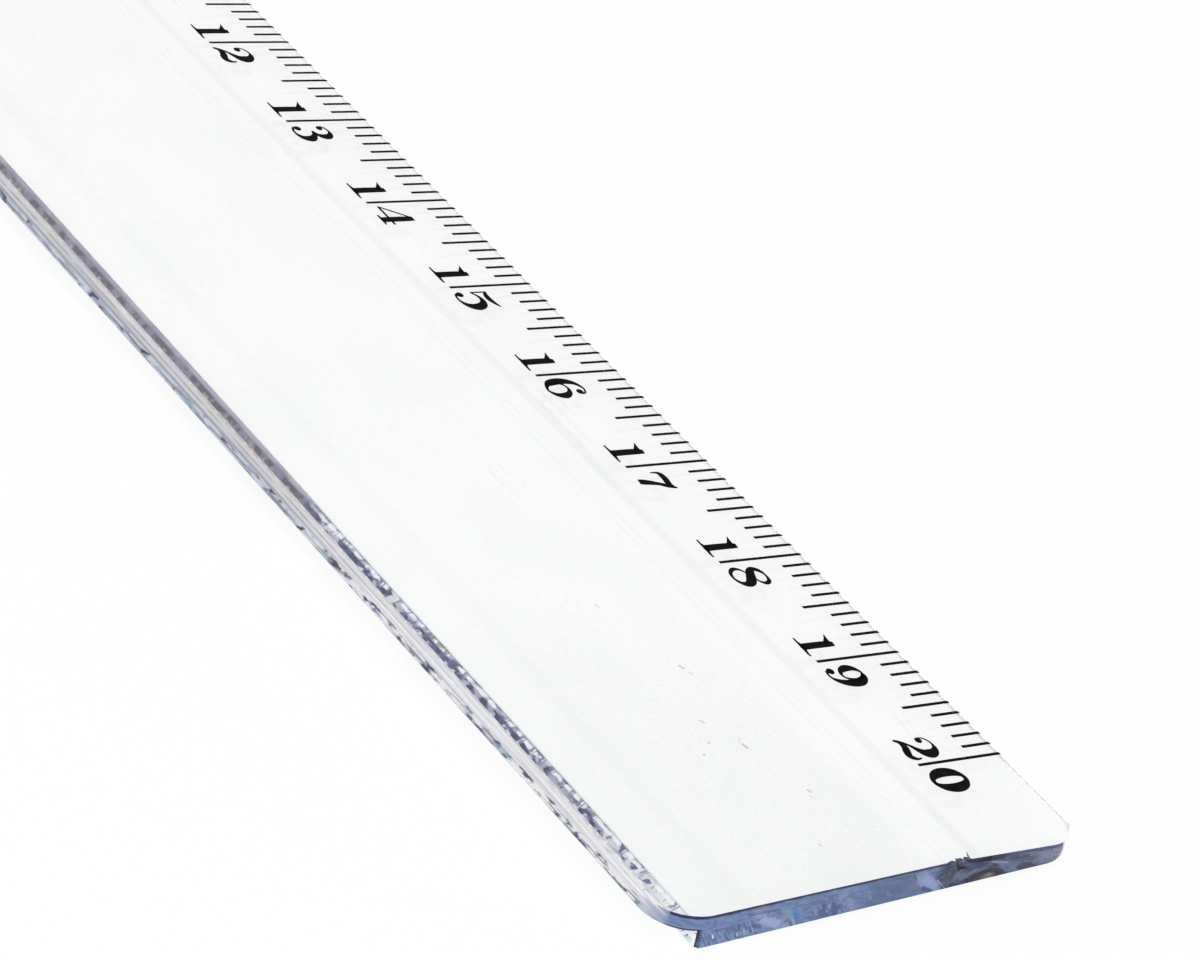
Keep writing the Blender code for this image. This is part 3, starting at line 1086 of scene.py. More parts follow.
    def speckle(self, face: Face, coat: Coat) -> None:
        """Paint a cut end's ticks, its mottled patch and its larger marks: glints and shade, all painted
        light.

        Args:
            face: the end face, across in Y and up in Z.
            coat: its colour so far.
        """
        leaning = Face(face.bench, face.across + face.up * 0.6, face.up)
        ticks = leaning.grain(5.0, 1.2, 41.0, 1.0)
        crowd = face.spot((-10.3, 0.25), (1.1, 0.6), 0.6).most(face.spot((-4.0, 0.45), (1.2, 0.5), 0.6) * 0.8)
        crowd = crowd.most(face.spot((-12.9, 0.3), (1.2, 0.5), 0.7) * 0.7)
        crowd = crowd.most(face.spot((-6.9, 0.2), (1.0, 0.3), 0.7))
        coat.over(crowd * ticks.rise(0.54, 0.6) * 0.65, self.tick_dark)
        coat.over(crowd * ticks.rise(0.42, 0.36) * 0.6, self.tick)
        grit = face.grain(2.8, 3.4, 4.0, 4.0)
        patch = face.spot((4.9, 0.9), (1.2, 0.95), 0.4)
        coat.over(patch * grit.rise(0.47, 0.57) * 0.75, self.mottle_dark)
        coat.over(patch * grit.rise(0.44, 0.35) * 0.6, self.mottle)
        for mark in END_MARKS:
            share = face.streak(mark) * mark.share
            coat.over(share * grit.rise(0.36, 0.54) if mark.broken else share, mark.colour)

    def below_top(self, face: Face) -> Wire:
        """How far a point of a cut end is under the top edge.

        Args:
            face: the end face, across in Y and up in Z.

        Returns:
            The distance in millimetres.
        """
        section = self.section
        crease = section.half_width - section.slope_width
        drop = (face.across - crease).most(0.0) * math.tan(section.slope_angle)
        shoulder = face.across.rise(crease - 0.2, crease) * section.shoulder_rise
        return section.thickness - drop - face.up - shoulder

    def draw_arch(self, face: Face, drawn: Wire, coat: Coat) -> None:
        """Paint the small dark arch low on a cut end, with its warm middle.

        Args:
            face: the end face, across in Y and up in Z.
            drawn: the streaks that run along it.
            coat: its colour so far.
        """
        ring = face.spot((8.05, 0.0), (1.5, 0.64), 0.14)
        coat.over(ring * 0.93, self.arch)
        red, brown, olive, dark = self.arch_warm
        warm = Coat(face.bench, red)
        warm.over(face.across.rise(7.5, 7.9), brown)
        warm.over(face.across.rise(7.95, 8.25), olive)
        warm.over(face.across.rise(8.4, 8.9), dark)
        core = face.spot((8.05, -0.04), (0.75, 0.32), 0.5)
        coat.over(core * (drawn.rise(0.3, 0.6) * 0.5 + 0.12), warm.colour)

    def edge_line(self, face: Face) -> Wire:
        """The dark line along the top of a cut end, a painted reflection, which is broader beside the slope.

        Args:
            face: the end face, across in Y and up in Z.

        Returns:
            The line's strength.
        """
        uneven = face.grain(1.1, 0.0, 70.0, 2.0).rise(0.3, 0.7)
        broad = face.across.band(6.5, 9.0, 0.5) * 0.14 + face.across.rise(5.4, 6.4) * 0.1
        width = broad + (uneven * 0.06 + 0.15)
        return (width - self.below_top(face)).rise(-0.07, 0.04)

    def side_colour(self, face: Face) -> bpy.types.NodeSocket:
        """The painted light on the flange's outer side: pale and lined above, broken and blue below.

        Args:
            face: the side, across in X and up in Z.

        Returns:
            The socket of the colour.
        """
        bench = face.bench
        far = face.across.rise(80.0, 62.0)
        lines = face.grain(0.1, 20.0, 3.0, 2.0)
        coat = Coat(bench, bench.tint(lines.rise(0.4, 0.6), self.frost_grey, self.frost))
        coat.over(far * 0.6, self.far_grey)
        coat.over(lines.rise(0.42, 0.36) * 0.6, self.frost_line)
        coat.over(face.up.band(1.74, 1.82, 0.05) * far * 0.7, self.far_line)
        ragged = face.up + face.grain(1.8, 0.0, 23.0, 3.0) * 0.3
        lower = ragged.rise(1.86, 1.78)
        crowd = (face.grain(0.25, 0.0, 30.0, 2.0) - 0.5) * 0.5
        fleck_field = face.grain(1.1, 2.2, 21.0, 5.0) + crowd - far * 0.05
        layered = face.grain(0.35, 8.0, 26.0, 3.0) + crowd
        coat.over(lower, bench.tint(far, self.chip, self.chip_far))
        grey = bench.tint(face.grain(0.4, 1.0, 44.0).rise(0.44, 0.56), self.chip_violet, self.chip_grey)
        coat.over(lower * fleck_field.rise(0.49, 0.53) * 0.8, grey)
        coat.over(lower * layered.rise(0.54, 0.58) * 0.75, self.chip_layer)
        drawn = face.up.band(1.32, 1.4, 0.06) * face.grain(0.3, 0.0, 58.0, 3.0).rise(0.44, 0.52) * far * 0.8
        coat.over(drawn, self.far_ink)
        tone = bench.tint(face.grain(0.6, 1.0, 40.0).rise(0.45, 0.55), self.chip_black, self.chip_navy)
        coat.over(lower * fleck_field.rise(0.56, 0.6) * 0.9, tone)
        tinted = face.grain(0.5, 0.6, 49.0).rise(0.56, 0.62) * lower * 0.5
        coat.over(tinted, bench.tint(far, self.teal, self.teal_far))
        dashed = face.grain(0.8, 0.0, 52.0, 2.0).rise(0.42, 0.5) * face.up.rise(1.17, 1.12) * 0.7
        coat.over(dashed, self.dash)
        return coat.colour


@dataclass(frozen=True)
class SteppedFoot(ClearPlastic):
    """Under the flange, painted light and shade: dark broken patches on the wall, fine lines overhead."""

    violet: Colour = (0.36, 0.34, 0.46)
    violet_pale: Colour = (0.66, 0.65, 0.68)
    violet_far: Colour = (0.24, 0.22, 0.34)
    cream: Colour = (0.86, 0.85, 0.82)
    sea_blue: Colour = (0.3, 0.5, 0.58)
    indigo: Colour = (0.15, 0.15, 0.33)
    navy: Colour = (0.012, 0.015, 0.08)
    navy_far: Colour = (0.09, 0.085, 0.17)
    blue: Colour = (0.1, 0.18, 0.45)
    bar: Colour = (0.9, 0.93, 0.95)
    tooth: Colour = (0.09, 0.09, 0.2)
    brow: Colour = (0.85, 0.85, 0.85)
    line: Colour = (0.2, 0.2, 0.24)
    sill: Colour = (0.012, 0.012, 0.03)
    haze: Colour = (0.27, 0.25, 0.37)
    haze_pale: Colour = (0.4, 0.38, 0.48)
    haze_low: Colour = (0.45, 0.41, 0.4)
    haze_dark: Colour = (0.16, 0.135, 0.19)
    bead: Colour = (0.03, 0.02, 0.025)
    glint: Colour = (0.55, 0.38, 0.26)
    roof: Colour = (0.48, 0.48, 0.54)
    roof_warm: Colour = (0.53, 0.5, 0.47)

    def dress(self) -> bpy.types.Material:
        """Make the finish.

        Returns:
            The material.
        """
        bench = Bench.material("clear_plastic_foot")
        x, y, z = bench.place()
        overhead, marked = self.roof_lines(Face(bench, x, y))
        under = y.rise(-13.95, -14.0) * z.rise(0.95, 1.0)
        wall = Face(bench, x - z * MARK_LEAN, z)
        colour = bench.tint(under, self.far_haze(wall, self.patches(wall)), overhead)
        share = (1.0 - under) * 0.96 + under * marked
        inputs = {"Base Color": colour, "Roughness": 0.3, "Specular IOR Level": 0.1}
        # The paint glows a little: painted light that keeps the wall's pale parts bright under the flange.
        paint = bench.principled(inputs | {"Emission Color": colour, "Emission Strength": 0.3})
        return bench.close(bench.blend(share, self.glass(bench), paint))

    def roof_lines(self, roof: Face) -> tuple[bpy.types.NodeSocket, Wire]:
        """The fine lines along the flange's underside, and the painted shadow of the table seen beyond them.

        Args:
            roof: the underside, across in X and up in Y.

        Returns:
            Their colour, and how strongly they are drawn.
        """
        bench, x, y = roof.bench, roof.across, roof.up
        far = x.rise(94.0, 76.0)
        streaked = roof.grain(0.09, 8.0, 17.0, 3.0)
        wander = roof.grain(0.5, 0.0, 24.0, 2.0)
        broken = roof.grain(1.4, 0.0, 57.0, 3.0).rise(0.44, 0.5)
        thin = y.band(-13.99, -13.93, 0.05) * (wander.rise(0.3, 0.5) * 0.3 + 0.25 + far * 0.2)
        thin = thin.most(y.band(-14.11, -14.08, 0.04) * wander.rise(0.62, 0.42) * (far * 0.2 + 0.2))
        thin = thin.most(y.band(-15.42, -15.38, 0.06) * wander.rise(0.35, 0.55) * (far * 0.3 + 0.4))
        thin = thin.most(y.band(-15.01, -14.95, 0.03) * broken * 0.75)
        # Painted shadow: beyond the wall, the table seen through the flange is greyed, more so on the far
        # stretch.
        outer = y.rise(-14.85, -14.95)
        deep = 0.2 + far * 0.25 + x.rise(82.0, 66.0) * 0.25
        painted_table_shadow = outer * (streaked.rise(0.62, 0.4) * 0.3 + deep)
        roof_flecks = Face(bench, x + y * 0.5, y).grain(1.3, 3.2, 61.0, 4.0).rise(0.58, 0.62) * x.rise(90.0, 98.0)
        thin = thin.most(roof_flecks * outer * 0.6)
        hue = bench.tint(roof.grain(0.4, 2.0, 55.0).rise(0.42, 0.58), self.roof, self.roof_warm)
        return bench.tint(thin, hue, self.line), thin.most(painted_table_shadow)

    def patches(self, wall: Face) -> bpy.types.NodeSocket:
        """The wall's painted light and shade near the 20 end: dark broken patches, white bars and teeth.

        The teeth stand a millimetre apart, as they are the graduations seen through the plastic.

        Args:
            wall: the wall, across along X and up in Z.

        Returns:
            The socket of the colour.
        """
        bench = wall.bench
        far = wall.across.rise(70.5, 65.0)
        near_end = wall.across.rise(100.0, 104.5)
        crowd = (wall.grain(0.3, 0.0, 3.0, 1.0) - 0.5) * 0.4 + wall.up.rise(0.75, 0.3) * 0.045
        thinned = near_end * 0.1
        field = wall.grain(1.2, 1.3, 11.0, 5.0) + crowd - thinned - wall.across.rise(86.0, 94.0) * 0.045
        cloud = wall.grain(0.5, 0.8, 31.0).rise(0.42, 0.56)
        coat = Coat(bench, bench.tint(cloud, self.violet, self.violet_pale))
        coat.over(near_end * 0.8, self.cream)
        coat.over(wall.grain(0.6, 0.8, 37.0).rise(0.56, 0.62) * 0.35, self.sea_blue)
        coat.over(far * 0.5, self.violet_far)
        coat.over(field.rise(0.48, 0.53), self.indigo)
        core = field.rise(0.52, 0.57) * (1.0 - near_end * 0.75)
        coat.over(core, bench.tint(far * 0.7, self.navy, self.navy_far))
        blue = wall.grain(0.6, 1.2, 27.0).rise(0.56, 0.62) * field.rise(0.47, 0.52)
        coat.over(blue * (1.0 - far) * (0.6 - near_end * 0.45), self.blue)
        ragged = wall.up + wall.grain(1.6, 0.4, 35.0, 3.0) * 0.3 - 0.15
        bars = ragged.band(0.56, 0.78, 0.06) * wall.grain(0.5, 0.0, 33.0).rise(0.4, 0.5) * (1.0 - far)
        coat.over(bars * (field.rise(0.62, 0.54) * 0.5 + 0.35), self.bar)
        coat.over(self.teeth(wall, far) * 0.8, self.tooth)
        coat.over(wall.up.rise(0.94, 1.02) * (0.8 - far * 0.4), self.brow)
        coat.over(wall.up.band(0.91, 0.98, 0.03) * (0.4 - near_end * 0.2 + far * 0.3), self.line)
        # Painted shade in the crease at the foot of the wall.
        sill = wall.up.rise(0.08, 0.03) * field.rise(0.44, 0.5) * (1.0 - near_end * 0.5)
        coat.over(sill * 0.9, self.sill)
        return coat.colour

    def teeth(self, wall: Face, far: Wire) -> Wire:
        """Thin upright lines, one to a millimetre, bowed and broken.

        Args:
            wall: the wall, across along X and up in Z.
            far: 1 on the far stretch, where they fade.

        Returns:
            The strength of the lines.
        """
        wavy = wall.across + wall.grain(0.4, 0.3, 14.0, 2.0) * 1.5
        pace = wavy.maths("FRACT")
        bowed = (wavy + wall.grain(1.5, 2.5, 18.0, 3.0) * 0.5).maths("FRACT")
        teeth = bowed.band(0.42, 0.58, 0.1).most(pace.band(0.48, 0.52, 0.05)) * wall.up.band(0.3, 1.0, 0.15)
        return teeth * wall.grain(0.9, 0.6, 15.0, 2.0).rise(0.4, 0.54) * (1.0 - far * 0.6)

    def far_haze(self, wall: Face, near: bpy.types.NodeSocket) -> bpy.types.NodeSocket:
        """The wall's painted light with the far stretch added: a grey violet haze with dark beads of shade.

        Args:
            wall: the wall, across along X and up in Z.
            near: the colours of its near stretch.

        Returns:
            The socket of the colour.
        """
        bench = wall.bench
        low = wall.up + wall.grain(0.6, 0.0, 62.0, 3.0) * 0.3 - 0.15
        coat = Coat(bench, bench.tint(wall.grain(0.5, 0.5, 31.0).rise(0.42, 0.58), self.haze, self.haze_pale))
        coat.over(wall.up.rise(0.12, 0.0) * 0.4, self.haze_low)
        coat.over(low.band(0.16, 0.6, 0.22) * 0.72, self.haze_dark)
        beads = low.band(0.24, 0.54, 0.14) * wall.grain(1.1, 0.5, 12.0, 3.0).rise(0.43, 0.53)
        coat.over(beads * 0.82, self.bead)
        glints = wall.grain(1.3, 1.5, 67.0, 3.0).rise(0.6, 0.66) * wall.up.rise(0.4, 0.25)
        coat.over(glints * 0.7, self.glint)
        return bench.tint(wall.across.rise(70.0, 66.0), near, coat.colour)


@dataclass(frozen=True)
class TornPlastic:
    """The burr: torn plastic, dark, and flecked with painted white glints."""

    dark: Colour = (0.006, 0.01, 0.045)
    middle: Colour = (0.04, 0.065, 0.14)
    bruise: Colour = (0.4, 0.52, 0.62)

    def dress(self) -> bpy.types.Material:
        """Make the finish.

        Returns:
            The material.
        """
        bench = Bench.material("clear_plastic_torn")
        x, y, z = bench.place()
        fleck_field = bench.noise(bench.point(x * 4.5, y * 6.0, z * 6.0), 3.0)
        coat = Coat(bench, bench.tint(fleck_field.rise(0.5, 0.56), self.dark, self.middle))
        # Painted highlight: white glints on the torn plastic.
        coat.over(fleck_field.rise(0.62, 0.65), self.bruise)
        normal = bench.bump(fleck_field, 0.05)
        return bench.close(bench.principled({"Base Color": coat.colour, "Roughness": 0.35, "Normal": normal}))


@dataclass(frozen=True)
class BlackFoil:
    """Black hot stamped foil: nearly even, a little worn, with a faint grain."""

    colour: Colour = (0.002, 0.002, 0.003)
    worn: Colour = (0.01, 0.0095, 0.011)
    gloss: float = 0.015

    def dress(self) -> bpy.types.Material:
        """The foil's finish.

        Returns:
            The material.
        """
        bench = Bench.material("black_foil_print")
        x, y, z = bench.place()
        wear = bench.noise(bench.point(x * 1.7, y * 1.7, z), 4.0)
        grain = bench.noise(bench.point(x * 14.0, y * 14.0, z * 14.0), 2.0)
        colour = bench.tint(wear.rise(0.5, 0.75), self.colour, self.worn)
        rough = wear.rise(0.3, 0.7) * 0.2 + 0.32
        normal = bench.bump(grain, 0.004)
        inputs = {"Base Color": colour, "Roughness": rough, "Normal": normal}
        return bench.close(bench.principled(inputs | {"Specular IOR Level": self.gloss}))


@dataclass(frozen=True)
class MillimetreLines:
    """The foil of the 160 shortest graduations, eight strips to a centimetre.

    A strip's section follows the slope and wraps over the graduated edge: an arc of the
    edge's rounding, moved in by the foil's depth, and a straight run up the slope. The
    section is carried along X over the line's width.
    """

    section: Section = Section()
    scale: Scale = Scale()
    clearance: float = 0.005
    arc_points: int = 6
    steps: tuple[int, ...] = (1, 2, 3, 4, 6, 7, 8, 9)

    def loop(self) -> np.ndarray:
        """The strip's section as a closed ring of (reach, height) points.

        Returns:
            The ring: out along the lower face, back along the upper one.
        """
        s = self.section
        end = s.wrap_end - self.clearance / s.graduated_edge_radius
        angles = np.linspace(s.slope_normal, end, self.arc_points)
        along = np.array((math.cos(s.slope_angle), math.sin(s.slope_angle)))
        straight = (self.scale.reaches[0] - s.round_centre[0]) / along[0]
        straight += s.graduated_edge_radius * math.tan(s.slope_angle) - self.clearance
        depths = (self.scale.stamp_depth - self.clearance, self.clearance)
        lower, upper = (s.arc(s.round_centre, s.graduated_edge_radius - depth, angles) for depth in depths)
        tips = (upper[0] + along * straight, lower[0] + along * straight)
        return np.concatenate((lower, upper[::-1], tips))

    def build(self, finish: bpy.types.Material) -> list[bpy.types.Object]:
        """Make one piece of eight strips for each centimetre.

        Args:
            finish: the foil's material.

        Returns:
            The pieces.
        """
        loop = self.loop()
        count = len(loop)
        half = self.scale.line_width / 2 - self.clearance
        steps = np.array(self.steps, dtype=float)
        sides, caps = ring_faces(2, count), np.stack((np.arange(count), np.arange(count) + count))
        shift = np.arange(len(steps))[:, None, None] * 2 * count
        faces = [(part[None] + shift).reshape(-1, part.shape[1]) for part in (sides, caps)]
        pieces = []
        for centimetre in range(self.scale.millimetres // 10):
            places = centimetre * 10 + self.scale.start + steps[:, None] + np.array((-half, half))
            x = np.broadcast_to(places[..., None], (*places.shape, count))
            y = np.broadcast_to(self.section.half_width - loop[:, 0], x.shape)
            z = np.broadcast_to(loop[:, 1], x.shape)
            points = np.stack((x, y, z), axis=-1).reshape(-1, 3)
            piece = make_piece(f"millimetre_lines_{centimetre:02d}", points, faces, [finish])
            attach(piece, BODY)
            pieces.append(piece)
        return pieces


@dataclass(frozen=True)
class Stroke:
    """One pen stroke of a numeral: knots of (across, up, half width) in millimetres."""

    knots: tuple[tuple[float, float, float], ...]
    closed: bool = False
    span_points: int = 5

    def path(self) -> np.ndarray:
        """A smooth line through the knots.

        Between knots P1 and P2 the point is the cubic that passes through both with slopes
        (P2 - P0) / 2 and (P3 - P1) / 2, where P0 and P3 are the knots on either side.

        Returns:
            Points (across, up, half width).
        """
        knots = np.array(self.knots)
        if self.closed:
            ring = [np.roll(knots, shift, axis=0) for shift in (1, 0, -1, -2)]
        else:
            longer = np.concatenate((2 * knots[:1] - knots[1:2], knots, 2 * knots[-1:] - knots[-2:-1]))
            ring = [longer[shift : len(knots) - 1 + shift] for shift in range(4)]
        p0, p1, p2, p3 = (part[:, None] for part in ring)
        t = (np.arange(self.span_points) / self.span_points)[None, :, None]
        curve = p1 + t / 2 * (p2 - p0 + t * (2 * p0 - 5 * p1 + 4 * p2 - p3 + t * (3 * p1 - p0 - 3 * p2 + p3)))
        points = curve.reshape(-1, 3)
        return points if self.closed else np.concatenate((points, knots[-1:]))

    def ribbon(self) -> tuple[np.ndarray, np.ndarray]:
        """The stroke's two sides: path plus and minus half width times its normal.

        Returns:
            The left side and the right side, as (across, up) points.
        """
        points = self.path()
        line, half = points[:, :2], np.clip(points[:, 2:], 0.02, None)
        if self.closed:
            run = np.roll(line, -1, axis=0) - np.roll(line, 1, axis=0)
        else:
            run = np.gradient(line, axis=0)
        normal = np.stack((-run[:, 1], run[:, 0]), axis=-1)
        normal /= np.linalg.norm(normal, axis=1, keepdims=True)
        return line + normal * half, line - normal * half


def pen(*knots: tuple[float, float, float], closed: bool = False) -> Stroke:
    """A stroke through these knots."""
    return Stroke(knots, closed)


def ball(across: float, up: float, radius: float) -> Stroke:
    """A round end of a stroke, as a closed stroke whose inner side closes on its middle.

    Args:
        across: the middle's place across.
        up: the middle's height over the baseline.
        radius: the ball's radius.

    Returns:
        The stroke.
    """
    turns = np.arange(6) * math.pi / 3
    half = radius / 2
    knots = ((across + half * math.cos(turn), up + half * math.sin(turn), half) for turn in turns)
    return pen(*knots, closed=True)


@dataclass(frozen=True)
class Digit:
    """A digit of the scale, drawn with fat and hairline strokes over one another."""

    strokes: tuple[Stroke, ...]

    @property
    def width(self) -> float:
        """How far the digit reaches across."""
        return max(across + half for stroke in self.strokes for across, _, half in stroke.knots)


# The digits 0 to 9, in millimetres over the baseline.
DIGITS = (
    Digit((
        pen(
            (1.83, 1.36, 0.397), (1.69, 2.09, 0.328), (1.33, 2.55, 0.175), (0.89, 2.55, 0.175),
            (0.53, 2.09, 0.328), (0.4, 1.36, 0.397), (0.53, 0.63, 0.328), (0.89, 0.17, 0.175),
            (1.33, 0.17, 0.175), (1.69, 0.63, 0.328),
            closed=True,
        ),
    )),
    Digit((
        pen(
            (0.9, 0.05, 0.307), (0.89, 0.6, 0.3), (0.89, 1.6, 0.293), (0.91, 2.27, 0.273),
            (0.96, 2.68, 0.2),
        ),
        pen((0.03, 2.59, 0.027), (0.29, 2.49, 0.087), (0.57, 2.37, 0.187), (0.85, 2.25, 0.28)),
        pen(
            (0.01, 0.11, 0.06), (0.37, 0.1, 0.08), (0.69, 0.15, 0.133), (0.93, 0.17, 0.173),
            (1.22, 0.13, 0.12), (1.53, 0.09, 0.087), (1.81, 0.11, 0.06),
        ),
    )),
    Digit((
        ball(0.36, 1.89, 0.25),
        pen(
            (0.14, 1.93, 0.033), (0.21, 2.27, 0.053), (0.47, 2.52, 0.067), (0.85, 2.62, 0.08),
            (1.25, 2.51, 0.2), (1.53, 2.2, 0.333), (1.61, 1.81, 0.4), (1.47, 1.47, 0.32),
            (1.13, 1.17, 0.2), (0.73, 0.91, 0.113), (0.4, 0.61, 0.087), (0.19, 0.31, 0.08),
            (0.09, 0.07, 0.073),
        ),
        pen(
            (0.1, 0.0, 0.06), (0.25, 0.28, 0.133), (0.5, 0.44, 0.213), (0.87, 0.41, 0.253),
            (1.23, 0.25, 0.273), (1.57, 0.19, 0.24), (1.8, 0.35, 0.18), (1.92, 0.61, 0.1),
            (1.88, 0.91, 0.047),
        ),
    )),
    Digit((
        ball(0.31, 2.26, 0.24),
        pen(
            (0.1, 2.28, 0.05), (0.21, 2.62, 0.07), (0.73, 2.8, 0.09), (1.2, 2.6, 0.24), (1.37, 2.14, 0.31),
            (1.11, 1.66, 0.18), (0.63, 1.46, 0.07),
        ),
        pen(
            (0.63, 1.48, 0.07), (1.17, 1.32, 0.2), (1.55, 0.82, 0.34), (1.39, 0.24, 0.24),
            (0.89, -0.04, 0.1), (0.39, 0.02, 0.09), (0.11, 0.28, 0.12),
        ),
        ball(0.27, 0.48, 0.26),
    )),
    Digit((
        pen((1.5, 2.66, 0.06), (0.95, 1.94, 0.07), (0.4, 1.22, 0.07), (0.07, 0.78, 0.07)),
        pen((0.02, 0.76, 0.09), (0.65, 0.76, 0.09), (1.45, 0.76, 0.09), (2.17, 0.76, 0.09)),
        pen((1.57, 2.68, 0.24), (1.57, 1.84, 0.28), (1.57, 0.84, 0.28), (1.57, 0.08, 0.28)),
        pen((1.0, 0.06, 0.06), (1.35, 0.08, 0.1), (1.75, 0.08, 0.1), (2.13, 0.06, 0.06)),
    )),
    Digit((
        pen(
            (0.14, 2.64, 0.05), (0.45, 2.44, 0.17), (0.95, 2.38, 0.21), (1.45, 2.52, 0.15),
            (1.91, 2.74, 0.04),
        ),
        pen((0.16, 2.6, 0.06), (0.16, 1.92, 0.06), (0.15, 1.38, 0.06)),
        pen(
            (0.15, 1.38, 0.06), (0.55, 1.68, 0.1), (1.07, 1.76, 0.19), (1.55, 1.48, 0.31),
            (1.77, 0.9, 0.36), (1.59, 0.34, 0.26), (1.15, 0.0, 0.12), (0.63, -0.06, 0.08),
            (0.23, 0.12, 0.1),
        ),
        ball(0.33, 0.38, 0.27),
    )),
    Digit((
        ball(1.38, 2.34, 0.26),
        pen(
            (1.63, 2.4, 0.05), (1.5, 2.7, 0.07), (1.06, 2.84, 0.08), (0.52, 2.56, 0.17),
            (0.22, 1.96, 0.28), (0.16, 1.28, 0.33), (0.29, 0.58, 0.29), (0.58, 0.16, 0.13),
            (1.02, -0.02, 0.07),
        ),
        pen(
            (0.92, 1.66, 0.09), (1.42, 1.46, 0.2), (1.69, 0.9, 0.29), (1.52, 0.32, 0.19),
            (1.02, -0.02, 0.08), (0.5, 0.28, 0.14), (0.34, 0.88, 0.14), (0.48, 1.44, 0.08),
            closed=True,
        ),
    )),
    Digit((
        pen(
            (0.12, 1.56, 0.04), (0.16, 1.96, 0.09), (0.34, 2.2, 0.21), (0.8, 2.26, 0.25),
            (1.3, 2.18, 0.24), (1.65, 2.3, 0.14), (1.84, 2.54, 0.05),
        ),
        pen(
            (1.8, 2.44, 0.08), (1.54, 1.92, 0.19), (1.28, 1.4, 0.17), (1.1, 0.88, 0.23),
            (0.98, 0.38, 0.27), (0.92, 0.04, 0.24),
        ),
    )),
    Digit((
        pen(
            (1.01, 2.66, 0.08), (0.56, 2.5, 0.16), (0.31, 2.11, 0.213), (0.53, 1.75, 0.293),
            (1.0, 1.47, 0.34), (1.48, 1.13, 0.347), (1.69, 0.7, 0.267), (1.49, 0.28, 0.147),
            (1.01, 0.06, 0.093), (0.48, 0.2, 0.133), (0.16, 0.62, 0.16), (0.24, 1.06, 0.1),
            (0.64, 1.37, 0.053), (1.16, 1.61, 0.06), (1.57, 1.82, 0.087), (1.76, 2.17, 0.16),
            (1.55, 2.54, 0.147),
            closed=True,
        ),
    )),
    Digit((
        pen(
            (0.33, 1.83, 0.293), (0.47, 2.31, 0.2), (0.9, 2.61, 0.087), (1.35, 2.27, 0.133),
            (1.45, 1.7, 0.133), (1.17, 1.12, 0.08), (0.75, 1.05, 0.12), (0.45, 1.35, 0.24),
            closed=True,
        ),
        pen(
            (0.9, 2.62, 0.08), (1.32, 2.52, 0.213), (1.65, 2.08, 0.333), (1.75, 1.5, 0.347),
            (1.64, 0.87, 0.287), (1.37, 0.37, 0.187), (1.03, 0.09, 0.093), (0.7, 0.05, 0.08),
            (0.39, 0.16, 0.107),
        ),
        ball(0.45, 0.43, 0.28),
    )),
)


@dataclass(frozen=True)
class Numerals:
    """The numerals 0 to 20, each split by its centimetre line and printed on the slope.

    A point (across, up) of a digit lies at X = line + cell + across and at a reach of
    baseline - up, on the slope's plane. The foil stands a hair over the plastic.
    """

    section: Section = Section()
    scale: Scale = Scale()
    baseline: float = 7.24
    tens_middle: float = -1.42
    units_middle: float = 1.6
    lift: float = 0.006
    sunk: float = 0.03

    def place(self, flat: np.ndarray, line: float, lift: float) -> np.ndarray:
        """Lay a digit's flat points on the slope.

        Args:
            flat: (across, up) points.
            line: where the digit's left side stands along X.
            lift: how far over the slope.

        Returns:
            The points in the ruler's frame.
        """
        reach = self.baseline - flat[:, 1]
        height = self.section.graduated_edge_thickness + reach * math.tan(self.section.slope_angle)
        return np.stack((line + flat[:, 0], self.section.half_width - reach, height + lift), axis=-1)

    def mesh_of(self, digit: Digit, line: float) -> list[tuple[np.ndarray, list[np.ndarray]]]:
        """A digit's strokes as closed bars of four sided section.

        Args:
            digit: the digit.
            line: where its left side stands along X.

        Returns:
            Points and faces for each stroke.
        """
        parts = []
        for stroke in digit.strokes:
            left, right = stroke.ribbon()
            ring = [self.place(left, line, self.lift), self.place(right, line, self.lift)]
            ring += [self.place(right, line, -self.sunk), self.place(left, line, -self.sunk)]
            rows = len(left)
            faces = ring_faces(rows, 4, stroke.closed)
            if not stroke.closed:
                ends = np.array([(0, 1, 2, 3), tuple(np.arange(4) + 4 * (rows - 1))])
                faces = np.concatenate((faces, ends))
            parts.append((np.stack(ring, axis=1).reshape(-1, 3), faces))
        return parts

    def build(self, finish: bpy.types.Material) -> list[bpy.types.Object]:
        """Make one piece for each numeral.

        Args:
            finish: the foil's material.

        Returns:
            The pieces.
        """
        pieces = []
        for number in range(self.scale.millimetres // 10 + 1):
            line = number * 10 + self.scale.start
            parts = []
            for cell, figure in zip((self.units_middle, self.tens_middle), reversed(str(number))):
                digit = DIGITS[int(figure)]
                parts += self.mesh_of(digit, line + cell - digit.width / 2)
            starts = np.cumsum([0] + [len(points) for points, _ in parts])
            points = np.concatenate([points for points, _ in parts])
            faces = np.concatenate([faces + start for (_, faces), start in zip(parts, starts)])
            piece = make_piece(f"numeral_{number:02d}", points, [faces], [finish])
            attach(piece, BODY)
            pieces.append(piece)
        return pieces


